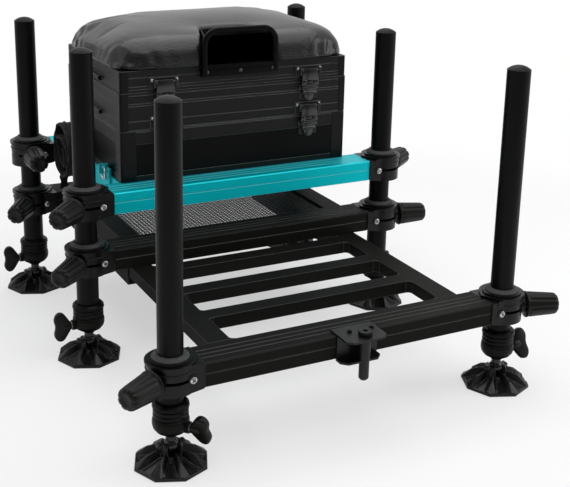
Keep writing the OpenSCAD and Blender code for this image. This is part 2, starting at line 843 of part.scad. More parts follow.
module tray_box() {
    color(GREY) {
        at_box(tray_z) difference() {
            box_shell(tray_h, box_wall);
            for (z = [1.5, 16, 41.5, 45.5, tray_h - 5]) box_groove(z, 1, 0.8);
        }
        hinge_half(tray_z, 1);
        hinge_half(lid_z, -1);
        side_pull(tray_z + 16);
    }
    color(STEEL) {
        at_latches(lid_z) latch_keeper();
        at_latches(tray_z) latch_base(0);
    }
}

module lid_frame() {
    color(GREY) {
        at_box(lid_z) difference() {
            linear_extrude(lid_h) round_rect(box_w - 2 * lid_inset, box_d - 2 * lid_inset, box_r);
            translate([0, 0, -eps]) linear_extrude(lid_h - box_wall + eps)
                round_rect(box_w - 2 * lid_inset - 2 * box_wall, box_d - 2 * lid_inset - 2 * box_wall,
                           max(box_r - box_wall, 1));
            for (z = [4.5, 9.5, 24]) box_groove(z, 1, 2.2);
        }
        hinge_half(lid_z, 1);
        side_pull(lid_z + 10);
    }
    color(STEEL) at_latches(lid_z) latch_base(lid_inset);
}

// finger grip on the box's left side
module side_pull(z) {
    end = 8;
    translate([-box_w / 2 - 7, box_front + pull_back, z]) difference() {
        along_y(pull_len) round_pull();
        translate([-eps, end, -4]) cube([3.5, pull_len - 2 * end, 6]);
    }
}

module round_pull() {
    translate([4, 0]) circle(4, $fn = 32);
    translate([4, -4]) square([4.6, 8]);
}

// hinge leaf and knuckles behind the box; up = 1 for the leaf above the seam
module hinge_half(z, up) {
    leaf_h = 15;
    knuckle = hinge_w / 3;
    side_gap = 0.2;
    seam = 0.6;
    web_y = hinge_y - 0.5;
    web_h = hinge_r - seam;
    back = up > 0 && z == lid_z ? box_rear - lid_inset : box_rear;
    both_sides() translate([hinge_x, 0, z]) {
        translate([-hinge_w / 2, back, up > 0 ? 1 : -1 - leaf_h])
            cube([hinge_w, box_rear + hinge_leaf - back, leaf_h]);
        if (up > 0) difference() {
            translate([-knuckle / 2 + side_gap, 0, 0]) {
                knuckle_x(0, knuckle - 2 * side_gap, hinge_r);
                translate([0, box_rear + 0.5, seam]) cube([knuckle - 2 * side_gap, web_y, web_h]);
            }
            knuckle_x(-hinge_w, 2 * hinge_w, hinge_pin_r + run_gap);
        }
        else {
            for (x = [-hinge_w / 2, knuckle / 2]) {
                knuckle_x(x, knuckle, hinge_r);
                translate([x, box_rear + 0.5, -hinge_r]) cube([knuckle, web_y, web_h]);
            }
            knuckle_x(-hinge_w / 2, hinge_w, hinge_pin_r);
        }
    }
}

module knuckle_x(x, len, r) {
    translate([x, box_rear + hinge_y, 0]) rotate([0, 90, 0]) cylinder(r = r, h = len, $fn = 32);
}

// latches: origin at the seam on the box front, -Y outward

module at_latches(z) {
    for (s = [-1, 1]) translate([s * latch_x, box_front, z]) children();
}

module latch_base(inset) {
    plate_t = 1.6;
    cheek = 3;
    cheek_x = 17;
    translate([-25, -plate_t, 3]) cube([50, plate_t + inset, 20]);
    for (s = [-1, 1]) {
        translate([s * 21.5, 0, 19]) rotate([90, 0, 0]) cylinder(r = 2.4, h = plate_t + 1.1, $fn = 24);
        translate([s > 0 ? cheek_x : -cheek_x - cheek, -latch_pin_y - 3.5, 8])
            cube([cheek, latch_pin_y + 3, 13]);
    }
    translate([-cheek_x - cheek, -latch_pin_y, latch_pin_z]) rotate([0, 90, 0])
        cylinder(r = latch_pin_r, h = 2 * (cheek_x + cheek), $fn = 24);
}

module latch_keeper() {
    translate([-17, -2, -34]) cube([34, 2, 22]);
    for (s = [-1, 1]) translate([s * 14, 0, -16]) rotate([90, 0, 0]) cylinder(r = 2, h = 2.9, $fn = 24);
}

module latch_lever() {
    half = 16.6;
    back = latch_pin_y - 3.2;
    difference() {
        union() {
            translate([-half, -latch_pin_y, latch_pin_z]) rotate([0, 90, 0])
                cylinder(r = 3.2, h = 2 * half, $fn = 32);
            translate([-half, -latch_pin_y - 3.2, -10]) cube([2 * half, 3.2, latch_pin_z + 10]);
            // claw: two ridges over a rounded tongue
            translate([-12, -latch_pin_y - 2.4, -24]) cube([24, 3, 15]);
            for (z = [-17, -22.5]) translate([-14, -latch_pin_y - 2, z]) rotate([0, 90, 0])
                cylinder(r = 2.8, h = 28, $fn = 32);
            translate([0, -back, -29]) rotate([90, 0, 0]) cylinder(r = 9, h = 2.6);
            translate([-9, -back - 2.6, -29]) cube([18, 2.6, 8]);
        }
        translate([-half - eps, -latch_pin_y, latch_pin_z]) rotate([0, 90, 0])
            cylinder(r = latch_pin_r + run_gap, h = 2 * half + 2 * eps, $fn = 24);
        translate([-6, -20, -7]) cube([12, 30, 6]);
    }
}

module latch(k) {
    z = k < 2 ? lid_z : tray_z;
    s = k % 2 == 0 ? -1 : 1;
    color(STEEL) translate([s * latch_x, box_front, z]) latch_lever();
}

// seat

// points of a rounded rectangular ring with half sizes a and b
function ring_points(a, b, z, n, sharp) = [
    for (k = [0:n - 1]) let (t = k * 360 / n, c = cos(t), s = sin(t))
        [a * sign(c) * pow(abs(c), 2 / sharp), b * sign(s) * pow(abs(s), 2 / sharp), z]];

pocket_front = box_front - 7;
pocket_w = handle_w - 8;
pocket_back_w = pocket_w * 0.68;

// plan of the finger pocket, grown by g
module pocket_plan(g) {
    r = 10;
    f = pocket_w / 2 + g;
    b = pocket_back_w / 2 + g;
    y0 = pocket_front - g;
    y1 = pocket_front + pocket_d + g;
    polygon([[-f, y0], [f, y0], [b, y1 - r], [b - r, y1], [-b + r, y1], [-b, y1 - r]]);
}

// crowned cushion: rings that shrink towards the crown, drawn in at the lower edge
module cushion_body() {
    n = 64;
    sharp = 7;
    a = box_w / 2 + cushion_bulge;
    b = box_d / 2 + cushion_bulge;
    skirt = cushion_h * 0.26;
    crown = 4.6;
    hem = cushion_bulge;
    shrink = [1, 0.99, 0.97, 0.945, 0.91, 0.87, 0.82, 0.75, 0.65, 0.5, 0.3];
    rings = concat([ring_points(a - hem, b - hem, 0, n, sharp),
                    ring_points(a - hem / 3, b - hem / 3, hem / 2, n, sharp),
                    ring_points(a, b, 1.5 * hem, n, sharp)],
                   [for (s = shrink) ring_points(a - b * (1 - s), b * s,
                        skirt + (cushion_h - skirt) * sqrt(1 - pow(s, crown)), n, sharp)]);
    last = len(rings) - 1;
    points = concat([for (g = rings) each g], [[0, 0, 0], [0, 0, cushion_h]]);
    side = [for (g = [0:last - 1]) for (k = [0:n - 1])
        let (p = g * n + k, q = g * n + (k + 1) % n) each [[p, p + n, q], [q, p + n, q + n]]];
    low = [for (k = [0:n - 1]) [k, (k + 1) % n, len(points) - 2]];
    top = [for (k = [0:n - 1]) [last * n + k, len(points) - 1, last * n + (k + 1) % n]];
    polyhedron(points, concat(side, low, top), convexity = 4);
}

module seat_cushion() {
    front_cut = 40;
    color(BLACK) difference() {
        translate([0, (box_front + box_rear) / 2 - 2, cushion_z]) cushion_body();
        translate([0, 0, cushion_z - eps]) linear_extrude(cushion_h + 10) union() {
            pocket_plan(0.5);
            translate([-handle_w / 2 - 0.5, pocket_front - front_cut]) square([handle_w + 1, front_cut + 3.5]);
        }
    }
}

// arched grip standing in front of the cushion's pocket, with a riveted strip and the pocket's tray
module lift_handle() {
    strip_z = lid_z + 19;
    strip_h = cushion_z - strip_z - 1;
    grip_t = 4;
    top_z = cushion_z + cushion_h - 3;
    arch_r = 26;
    w = handle_w;
    color(BLACK) {
        translate([0, pocket_front - 1, 0]) along_y(grip_t) difference() {
            arch_outline(w, strip_z, top_z, arch_r);
            arch_outline(w - 2 * handle_rim, cushion_z + 2, top_z - handle_rim, arch_r - handle_rim);
        }
        // strip with its rivets, standing off to the lid's face
        translate([-w / 2, pocket_front + grip_t - 1, strip_z])
            cube([w, box_front + lid_inset - pocket_front - grip_t + 1, strip_h]);
        for (x = [-w / 2 + 9, 0, w / 2 - 9]) translate([x, pocket_front - 1, strip_z + strip_h / 2])
            rotate([90, 0, 0]) cylinder(r = 3, h = 1.2, $fn = 24);
        // tray of the pocket
        difference() {
            translate([0, 0, cushion_z]) linear_extrude(26) pocket_plan(0);
            translate([0, 0, cushion_z + 2]) linear_extrude(30) pocket_plan(-2);
            translate([-pocket_w / 2 + 4, pocket_front - 10, cushion_z + 2]) cube([pocket_w - 8, 13, 40]);
        }
    }
}

// upright arch from z0 to z1 with round upper corners
module arch_outline(w, z0, z1, r) {
    translate([-w / 2, z0]) square([w, z1 - z0 - r]);
    translate([-w / 2 + r, z0]) square([w - 2 * r, z1 - z0]);
    for (s = [-1, 1]) translate([s * (w / 2 - r), z1 - r]) circle(r);
}

// shoulder strap, bunched beside the box

// flat band swept along points in a plane x = const: width across X, thickness across the run
function band_rings(path, x0, w, t) = [
    for (k = [0:len(path) - 1])
        let (a = path[max(k - 1, 0)], b = path[min(k + 1, len(path) - 1)], d = (b - a) / norm(b - a),
             nrm = [-d[1], d[0]] * t / 2, p = path[k])
            [[x0, p[0] + nrm[0], p[1] + nrm[1]], [x0 + w, p[0] + nrm[0], p[1] + nrm[1]],
             [x0 + w, p[0] - nrm[0], p[1] - nrm[1]], [x0, p[0] - nrm[0], p[1] - nrm[1]]]];

module band(path, x0, w, t) {
    rings = band_rings(path, x0, w, t);
    m = len(path) - 1;
    points = [for (g = rings) each g];
    side = [for (g = [0:m - 1]) for (k = [0:3])
        let (p = 4 * g + k, q = 4 * g + (k + 1) % 4) each [[p, q, p + 4], [q, q + 4, p + 4]]];
    ends = [[0, 3, 2], [0, 2, 1], [4 * m, 4 * m + 1, 4 * m + 2], [4 * m, 4 * m + 2, 4 * m + 3]];
    polyhedron(points, concat(side, ends), convexity = 6);
}

// distance of the strap from the side rails; it hangs over the ear of the rear left ring
strap_out = 5;
strap_w = 28;
strap_t = 7;
strap_x = -side_x - strap_out - strap_w;
// routes as y behind the rear strap ring and z over its ear: an outer and an inner turn, then the tail
fold_route = [[-64, -25], [-57, 3], [-40, 19], [-12, 27], [14, 25], [29, 11], [32, -11], [24, -35], [6, -55],
              [-18, -63], [-38, -55], [-48, -37], [-46, -21], [-38, -5], [-20, 3.7], [4, 3.7], [14, 2],
              [19, -8], [19, -21], [8, -39], [-12, -47], [-28, -41], [-32, -25], [-27, -10]];
fold_tail = [[8, -53], [15, -69], [21, -81], [21, -91], [12, -97], [0, -98], [-10, -94]];

function in_place(path) = [for (p = path) [lug_y[1] + p[0], upper_z + ear_top + p[1]]];

module shoulder_strap() {
    color(BLACK) {
        band(in_place(fold_route), strap_x, strap_w, strap_t);
        band(in_place(fold_tail), strap_x + 6, strap_w - 12, 3);
    }
}

upper_frame_rails();
upper_corner_clamps();
upper_clamp_bushings();
upper_clamp_screws();
base_box();
base_panels();
strap_rings();
shoulder_strap();
lower_frame_rails();
lower_corner_clamps();
lower_clamp_bushings();
mesh_panel();
footplate_runners();
footplate_frame();
footplate_clamps();
footplate_bushings();
accessory_bracket();
bracket_bolt();
tray_box();
lid_frame();
seat_cushion();
lift_handle();
for (i = [0:5]) {
    leg(i);
    stem(i);
    foot(i);
    wing_screw(i);
}
for (k = [0:3]) {
    at_leg(k + 2, upper_z) clamp_knob(UPPER_KNOBS[k + 2]);
    at_leg(k + 2, lower_z) clamp_knob(LOWER_KNOBS[k + 2]);
    latch(k);
}
for (k = [0:1]) {
    at_leg(k, foot_z) clamp_knob(FOOT_KNOBS[k]);
}
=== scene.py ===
"""Looks of a fishing seat box on six legs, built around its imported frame. Run as a script."""

import json
import math

import bmesh
import bpy
import numpy as np
from bpy.props import FloatProperty, FloatVectorProperty, IntProperty, PointerProperty
from mathutils import Matrix, Vector, noise


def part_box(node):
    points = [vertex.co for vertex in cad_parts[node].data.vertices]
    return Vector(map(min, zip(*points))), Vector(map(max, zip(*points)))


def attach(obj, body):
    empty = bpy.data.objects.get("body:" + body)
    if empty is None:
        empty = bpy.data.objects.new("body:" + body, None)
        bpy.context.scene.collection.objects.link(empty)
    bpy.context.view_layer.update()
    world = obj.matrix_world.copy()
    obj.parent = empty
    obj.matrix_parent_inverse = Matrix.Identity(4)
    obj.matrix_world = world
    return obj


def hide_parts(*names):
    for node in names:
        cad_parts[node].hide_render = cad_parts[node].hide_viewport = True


bl_info = {
    "name": "Fishing Seat Looks",
    "version": (1, 0, 0),
    "blender": (4, 5, 0),
    "location": "View3D > Sidebar > Seat",
    "description": "Dresses the packed frame of a fishing seat box with its soft parts and finishes",
    "category": "Object",
}

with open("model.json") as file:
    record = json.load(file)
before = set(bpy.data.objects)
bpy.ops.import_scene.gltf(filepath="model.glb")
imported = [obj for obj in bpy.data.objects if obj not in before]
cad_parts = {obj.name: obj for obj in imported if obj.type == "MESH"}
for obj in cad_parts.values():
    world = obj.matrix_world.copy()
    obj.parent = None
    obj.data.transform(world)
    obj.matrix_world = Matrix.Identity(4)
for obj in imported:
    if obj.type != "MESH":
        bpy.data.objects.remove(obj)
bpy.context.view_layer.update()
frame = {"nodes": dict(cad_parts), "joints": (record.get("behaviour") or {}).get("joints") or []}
JOINTS = {j["child"]: j for j in frame["joints"]}
LEGS = [row + "_" + side for row in ("front", "middle", "rear") for side in ("left", "right")]
MM = 0.001
TAU = 2 * math.pi

PAD_LOW, PAD_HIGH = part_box("seat_cushion")
RAIL_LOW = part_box("upper_frame_rails")[0]

# places on the object, in metres
LEG_AT = {leg: Vector(JOINTS["foot_" + leg]["pos_m"]) for leg in LEGS}
MID_Y = LEG_AT["middle_left"].y
BOX_FRONT = MID_Y + 0.019
BOX_REAR = BOX_FRONT + 0.288
BOX_HALF = 0.2105
LATCH_PIN_RISE = 0.017
TRAY_Z = JOINTS["latch_tray_left"]["pos_m"][2] - LATCH_PIN_RISE
LID_Z = JOINTS["latch_lid_left"]["pos_m"][2] - LATCH_PIN_RISE
POCKET_FRONT = BOX_FRONT - 0.007

# height of the rails in millimetres
RAIL_HEIGHT = 35


# meshes


def new_mesh(name, points, faces, smooth=True):
    """A linked object whose mesh lies in the row frame."""
    mesh = bpy.data.meshes.new(name)
    mesh.from_pydata([tuple(float(c) for c in p) for p in points], [], [tuple(f) for f in faces])
    mesh.validate()
    mesh.update()
    for polygon in mesh.polygons:
        polygon.use_smooth = smooth
    made = bpy.data.objects.new(name, mesh)
    bpy.context.scene.collection.objects.link(made)
    return made


def ring_faces(count, around, start):
    """Quads between closed rings of points that follow each other."""
    faces = []
    for g in range(count - 1):
        low = start + g * around
        high = low + around
        for k in range(around):
            ahead = (k + 1) % around
            faces.append((low + k, low + ahead, high + ahead, high + k))
    return faces


class Shell:
    """Collects lofted solids into one mesh."""

    def __init__(self):
        self.points = []
        self.faces = []

    def loft(self, rings):
        """Adds a solid through rings of points, closed by a face at each end."""
        start = len(self.points)
        around = len(rings[0])
        last = start + (len(rings) - 1) * around
        for ring in rings:
            self.points.extend(tuple(p) for p in ring)
        self.faces += ring_faces(len(rings), around, start)
        self.faces.append(tuple(range(start + around - 1, start - 1, -1)))
        self.faces.append(tuple(range(last, last + around)))
        return self

    def stack(self, levels):
        """Adds a solid through plans of x and y, each given with its height."""
        return self.loft([[(x, y, z) for x, y in plan] for z, plan in levels])

    def build(self, name, smooth=True, crease=40):
        """The mesh, shaded flat across edges sharper than the crease angle."""
        made = new_mesh(name, self.points, self.faces, smooth)
        work = bmesh.new()
        work.from_mesh(made.data)
        bmesh.ops.recalc_face_normals(work, faces=work.faces)
        work.to_mesh(made.data)
        work.free()
        if smooth:
            made.data.set_sharp_from_angle(angle=math.radians(crease))
        return made


def turned(profile, around, centre=(0, 0, 0), turn=None):
    """Rings of a lathe profile of radius and height; turn leads its axis away from +Z."""
    rings = []
    for radius, height in profile:
        ring = []
        for k in range(around):
            angle = TAU * k / around
            point = Vector((radius * math.cos(angle), radius * math.sin(angle), height))
            ring.append(Vector(centre) + (turn @ point if turn else point))
        rings.append(ring)
    return rings


def lathe(shell, profile, around=32, centre=(0, 0, 0), axis=(1, 0, 0)):
    """A turned body along an axis; the profile holds radius and distance along it."""
    turn = Vector((0, 0, 1)).rotation_difference(Vector(axis)).to_matrix()
    return shell.loft(turned(profile, around, centre, turn))


def inset(outline, distance):
    """The outline drawn in by a distance at each corner."""
    p = np.array(outline, float)
    edge = np.roll(p, -1, 0) - p
    length = np.maximum(np.linalg.norm(edge, axis=1, keepdims=True), 1e-9)
    normal = np.c_[-edge[:, 1], edge[:, 0]] / length
    area = np.sum(p[:, 0] * np.roll(p[:, 1], -1) - np.roll(p[:, 0], -1) * p[:, 1])
    both = normal + np.roll(normal, 1, 0)
    scale = 2 / np.maximum((both**2).sum(1, keepdims=True), 0.8)
    return p + math.copysign(distance, area) * both * scale


def plate(shell, outline, low, high, rounding=0.4):
    """A plate whose outline lies in X and Z, from y = low to y = high, with rounded edges."""
    r = min(rounding, (high - low) / 2)
    front = ((low, 1.0), (low + 0.3 * r, 0.3), (low + r, 0))
    back = ((high - r, 0), (high - 0.3 * r, 0.3), (high, 1.0))
    return shell.loft([[(x, y, z) for x, z in inset(outline, share * r)] for y, share in front + back])


def block(shell, x, y, z, rounding=0.4):
    """A block between two values on each axis."""
    return plate(shell, [(x[0], z[0]), (x[1], z[0]), (x[1], z[1]), (x[0], z[1])], y[0], y[1], rounding)


def upright(shell, plan, low, high, bevel):
    """A solid that stands on a plan, with bevels along its lower and upper edges."""
    levels = ((low, bevel), (low + bevel, 0), (high - bevel, 0), (high, bevel))
    return shell.stack([(z, inset(plan, draw)) for z, draw in levels])


def arc(cx, cy, radius, first, last, steps=8):
    """Points on an arc, angles in degrees."""
    angles = [math.radians(first + (last - first) * k / steps) for k in range(steps + 1)]
    return [(cx + radius * math.cos(a), cy + radius * math.sin(a)) for a in angles]


def apply_modifiers(piece):
    """Bakes the modifiers into the mesh."""
    graph = bpy.context.evaluated_depsgraph_get()
    bpy.context.view_layer.update()
    mesh = bpy.data.meshes.new_from_object(piece.evaluated_get(graph))
    piece.modifiers.clear()
    piece.data = mesh
    return piece


def points_of(mesh):
    """The mesh's points as rows of an array."""
    return np.array([v.co for v in mesh.vertices])


def move_points(mesh, points):
    """Sets the mesh's points from the rows of an array."""
    mesh.vertices.foreach_set("co", points.astype(np.float32).ravel())
    mesh.update()


def set_down(piece, origin=(0, 0, 0), forward=(1, 0, 0), up=(0, 0, 1)):
    """Scales a mesh made in millimetres and places it in the row frame, its +X turned forward."""
    x = Vector(forward).normalized()
    z = Vector(up)
    z = (z - z.dot(x) * x).normalized()
    turn = Matrix((x, z.cross(x), z)).transposed().to_4x4()
    piece.data.transform(Matrix.Translation(origin) @ turn @ Matrix.Scale(MM, 4))
    return piece


def dress(piece, body, finish, node=None):
    """Puts a finish on a piece, ties it to its body and hides the node that it stands for."""
    piece.data.materials.clear()
    piece.data.materials.append(bpy.data.materials[finish] if isinstance(finish, str) else finish)
    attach(piece, body)
    if node:
        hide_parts(node)
    return piece


def smoothstep(value, low, high):
    """0 at low, 1 at high and smooth between, whichever of the two is larger."""
    t = np.clip((value - low) / (high - low), 0, 1)
    return t * t * (3 - 2 * t)


# shader maths


class Value:
    """A shader socket. Arithmetic on it adds Math nodes to its tree."""

    def __init__(self, tree, socket):
        self.tree = tree
        self.socket = socket

    def _math(self, operation, first, second=0.0, clamped=False):
        settings = {"operation": operation, "use_clamp": clamped}
        return self.tree.add("ShaderNodeMath", settings, {0: first, 1: second})

    def __add__(self, other):
        return self._math("ADD", self, other)

    __radd__ = __add__

    def __sub__(self, other):
        return self._math("SUBTRACT", self, other)

    def __rsub__(self, other):
        return self._math("SUBTRACT", other, self)

    def __mul__(self, other):
        return self._math("MULTIPLY", self, other)

    __rmul__ = __mul__

    def __pow__(self, other):
        return self._math("POWER", self, other)

    def __gt__(self, other):
        return self._math("GREATER_THAN", self, other)

    def __lt__(self, other):
        return self._math("LESS_THAN", self, other)

    def clamped(self):
        return self._math("ADD", self, 0.0, True)

    def either(self, other):
        return self._math("MAXIMUM", self, other)

    def wave(self):
        return self._math("SINE", self)

    def size(self):
        return self._math("ABSOLUTE", self)


class Tree:
    """A node tree that is written as expressions."""

    def __init__(self, node_tree):
        self.nodes = node_tree.nodes
        self.links = node_tree.links
        self.nodes.clear()

    def add(self, kind, settings=None, inputs=None, output=0):
        """A node of a kind, its settings first, then the values or links of its sockets."""
        node = self.nodes.new(kind)
        for key, value in (settings or {}).items():
            setattr(node, key, value)
        for key, value in (inputs or {}).items():
            if isinstance(value, Value):
                self.links.new(value.socket, node.inputs[key])
            else:
                node.inputs[key].default_value = value
        return Value(self, node.outputs[output])

    def end(self, kind, shader):
        """Leads a shader to the tree's output."""
        out = self.nodes.new(kind)
        self.links.new(shader.socket, out.inputs["Surface"])


def rgba(colour):
    return (*tuple(colour)[:3], 1.0)


def toned(colour, gain, lift=0.0):
    """The colour made darker or lighter."""
    return [c * gain + lift for c in colour]


class Finish(Tree):
    """A material of the object."""

    def __init__(self, name):
        self.material = bpy.data.materials.new(name)
        self.material.use_nodes = True
        super().__init__(self.material.node_tree)
        self.point = self.add("ShaderNodeTexCoord", output="Object")
        self.x, self.y, self.z = (self.add("ShaderNodeSeparateXYZ", {}, {0: self.point}, k) for k in range(3))

    def scaled(self, sx, sy, sz):
        """The point with each axis stretched, for marks that run one way."""
        return self.add("ShaderNodeVectorMath", {"operation": "MULTIPLY"}, {0: self.point, 1: (sx, sy, sz)})

    def noise(self, scale, detail=3.0, roughness=0.55, at=None):
        inputs = {"Vector": at or self.point, "Scale": scale, "Detail": detail, "Roughness": roughness}
        return self.add("ShaderNodeTexNoise", {}, inputs)

    def cells(self, scale, feature):
        inputs = {"Vector": self.point, "Scale": scale}
        return self.add("ShaderNodeTexVoronoi", {"feature": feature}, inputs, "Distance")

    def mix(self, factor, first, second):
        first, second = (c if isinstance(c, Value) else rgba(c) for c in (first, second))
        return self.add("ShaderNodeMix", {"data_type": "RGBA"}, {0: factor, 6: first, 7: second}, 2)

    def between(self, value, low, high):
        """0 under low, 1 over high."""
        inputs = {"Value": value, "From Min": low, "From Max": high}
        return self.add("ShaderNodeMapRange", {"interpolation_type": "SMOOTHSTEP"}, inputs)

    def edge_normal(self, radius):
        """The surface's normal, rounded over its edges."""
        return self.add("ShaderNodeBevel", {"samples": 6}, {"Radius": radius})

    def edges(self, normal, gain):
        """1 along rounded edges, 0 on faces."""
        face = self.add("ShaderNodeNewGeometry", output="Normal")
        dot = self.add("ShaderNodeVectorMath", {"operation": "DOT_PRODUCT"}, {0: normal, 1: face}, "Value")
        return ((1.0 - dot) * gain).clamped()

    def bump(self, height, distance, normal=None):
        inputs = {"Height": height, "Distance": distance}
        if normal:
            inputs["Normal"] = normal
        return self.add("ShaderNodeBump", {}, inputs)

    def surface(self, **sockets):
        """Ends the tree in one surface and gives its material."""
        names = {k.replace("_", " "): v for k, v in sockets.items()}
        self.end("ShaderNodeOutputMaterial", self.add("ShaderNodeBsdfPrincipled", {}, names))
        return self.material


# finishes


def drawn_metal(name, colour, roughness, metallic, run, lift, edge_gain, highlight_colour, gloss, edge_metal=0.0):
    """Anodised extrusion with faint lines along its run; its edges are lightened as a painted highlight, and
    are also bare metal where edge_metal is given.
    """
    f = Finish(name)
    normal = f.edge_normal(0.0009)
    edge = f.edges(normal, edge_gain)
    lines = f.noise(1.0, 2.0, 0.5, f.scaled(*run))
    cloud = f.noise(9.0, 3.0)
    speck = f.noise(1400.0, 1.0)
    shade = (0.72 + lines * 0.34 + cloud * 0.22).clamped()
    tone = f.mix(shade, toned(colour, 0.6), colour)
    # painted highlight: the edges are mixed towards a lighter colour
    tone = f.mix(edge * lift, tone, highlight_colour)
    rough = (roughness - 0.08 + lines * 0.1 + cloud * 0.08 - edge * 0.1).clamped()
    height = lines * 0.6 + speck * 0.4
    return f.surface(
        Base_Color=tone,
        Roughness=rough,
        Metallic=(edge * edge_metal + metallic).clamped() if edge_metal else metallic,
        Specular_IOR_Level=gloss,
        Normal=f.bump(height, 0.00004, normal),
    )


def moulded(name, colour, roughness, grain, depth, edge_radius, lift, gloss, edge_highlight=0.02):
    """Moulded or powder-coated part: fine grain, small tone changes, and edges lightened as a painted
    highlight.
    """
    f = Finish(name)
    normal = f.edge_normal(edge_radius)
    edge = f.edges(normal, 4.0)
    grain_noise = f.noise(grain, 2.0)
    cloud = f.noise(14.0, 3.0)
    dust = f.between(f.noise(70.0, 4.0, 0.7), 0.55, 0.85)
    tone = f.mix(cloud, toned(colour, 0.75), toned(colour, 1.25))
    tone = f.mix(dust * 0.2, tone, toned(colour, 1.9, 0.003))
    # painted highlight along the edges
    tone = f.mix(edge * lift, tone, toned(colour, 2.6, edge_highlight))
    rough = (roughness - 0.06 + grain_noise * 0.08 + dust * 0.08).clamped()
    return f.surface(
        Base_Color=tone,
        Roughness=rough,
        Specular_IOR_Level=gloss,
        Normal=f.bump(grain_noise, depth, normal),
    )


def bright_metal(name, colour, roughness):
    """Plated or turned steel with faint turning marks."""
    f = Finish(name)
    normal = f.edge_normal(0.0003)
    smear = f.noise(60.0, 4.0, 0.7)
    fine = f.noise(2500.0, 1.0)
    tone = f.mix(smear, toned(colour, 0.8), colour)
    rough = (roughness + smear * 0.15).clamped()
    return f.surface(Base_Color=tone, Roughness=rough, Metallic=1.0, Normal=f.bump(fine, 0.00001, normal))


def box_finish(look):
    """Black anodised box walls, with gunmetal fittings on the front and rear by their place, and edges that
    are partly bare metal and partly a painted highlight.
    """
    f = Finish("box_black")
    normal = f.edge_normal(0.0009)
    edge = f.edges(normal, 7.0)
    lines = f.noise(1.0, 2.0, 0.5, f.scaled(5, 5, 900))
    cloud = f.noise(7.0, 3.0)
    skin = 0.0003
    fitting = (f.y < BOX_FRONT - skin).either(f.y > BOX_REAR + skin)
    grey = (lines * 0.6 + cloud * 0.4).clamped()
    wall = f.mix(grey, toned(look.frame_black, 0.7), toned(look.frame_black, 1.4))
    tone = f.mix(fitting, wall, (0.009, 0.009, 0.0085))
    # painted highlight on the edges; the metallic below makes them partly bare metal too
    tone = f.mix(edge * 0.6, tone, (0.3, 0.3, 0.29))
    rough = (0.36 + lines * 0.1 + cloud * 0.06 - fitting * 0.08).clamped()
    return f.surface(
        Base_Color=tone,
        Roughness=rough,
        Metallic=edge * 0.6,
        Specular_IOR_Level=0.24,
        Normal=f.bump(lines, 0.00003, normal),
    )


def leg_finish(look):
    """Black tube with a moulded cap and collar by their height, and a painted highlight along its edges."""
    f = Finish("leg_black")
    normal = f.edge_normal(0.0006)
    edge = f.edges(normal, 4.0)
    cap_from, collar_to = 0.512, 0.0965
    moulded_part = (f.z > cap_from).either(f.z < collar_to)
    grain = f.noise(700.0, 2.0)
    streak = f.noise(1.0, 2.0, 0.5, f.scaled(500, 500, 6))
    cloud = f.noise(10.0, 3.0)
    grey = (streak * 0.5 + cloud * 0.5).clamped()
    tube = f.mix(grey, toned(look.frame_black, 0.35), toned(look.frame_black, 0.65))
    tone = f.mix(moulded_part, tube, toned(look.plastic_black, 0.8))
    # painted highlight along the edges
    tone = f.mix(edge * 0.5, tone, (0.06, 0.06, 0.057))
    height = grain * moulded_part + streak * 0.3
    return f.surface(
        Base_Color=tone,
        Roughness=(0.34 + streak * 0.08 - moulded_part * 0.02).clamped(),
        Specular_IOR_Level=0.12,
        Normal=f.bump(height, 0.00005, normal),
    )


def cover_finish(colour):
    """Grained black vinyl."""
    f = Finish("black_vinyl")
    warp = f.noise(70.0, 3.0, 0.6)
    pebble = f.cells(520.0, "SMOOTH_F1")
    creases = f.cells(210.0, "DISTANCE_TO_EDGE")
    cloud = f.noise(11.0, 4.0)
    tone = f.mix((pebble * 0.8 + cloud * 0.4).clamped(), toned(colour, 0.7), toned(colour, 1.5))
    rough = (0.27 + cloud * 0.1 + pebble * 0.08).clamped()
    height = f.between(creases, 0.0, 0.16) * 0.8 + pebble * 0.6 + warp * 1.2
    return f.surface(
        Base_Color=tone,
        Roughness=rough,
        Specular_IOR_Level=0.27,
        Coat_Weight=0.46,
        Coat_Roughness=0.16,
        Normal=f.bump(height, 0.0003),
    )


def webbing_finish():
    """Black woven band."""
    f = Finish("black_webbing")
    weave = 2600.0
    twill = (((f.y + f.z) * weave).wave() * (f.x * weave).wave()).size()
    cloud = f.noise(40.0, 4.0)
    tone = f.mix((twill * 0.6 + cloud * 0.5).clamped(), (0.0015, 0.0015, 0.0014), (0.009, 0.009, 0.0085))
    return f.surface(
        Base_Color=tone,
        Roughness=0.8,
        Specular_IOR_Level=0.3,
        Sheen_Weight=0.06,
        Normal=f.bump(twill, 0.00025),
    )


# sizes and colours that a user may change


def shade(name, description, default):
    """Setting of a colour."""
    return FloatVectorProperty(name=name, description=description, default=default, size=3, subtype="COLOR")


def length(name, description, default):
    """Setting of a length in metres."""
    return FloatProperty(name=name, description=description, default=default, unit="LENGTH")


class FinishSettings(bpy.types.PropertyGroup):
    """Colours of the object's finishes."""

    rail_colour: shade("Upper rails", "Colour of the upper rails", (0.0, 0.54, 0.61))
    frame_black: shade("Black extrusions", "Colour of the black rails and the box", (0.0050, 0.0050, 0.0045))
    casting_black: shade("Castings", "Colour of the clamp castings", (0.0017, 0.0017, 0.0014))
    plastic_black: shade("Plastic parts", "Colour of knobs and feet", (0.0040, 0.0040, 0.0033))
    steel: shade("Steel", "Colour of screws, rings and studs", (0.62, 0.61, 0.59))


class CushionSettings(bpy.types.PropertyGroup):
    """Shape of the seat cushion."""

    voxel: length("Mesh size", "Voxel size of the cushion's mesh", 0.005)
    start_inset: length("Start inset", "How far the cushion starts inside its final form", 0.006)
    swell_limit: length("Swell limit", "How far a point may move while it swells", 0.024)
    pressure: FloatProperty(name="Pressure", description="Air pressure in the cushion", default=4.0)
    gather_depth: length("Gather depth", "Depth of the gathers at the corners", 0.0030)
    colour: shade("Cover", "Colour of the cover", (0.0026, 0.0026, 0.0024))


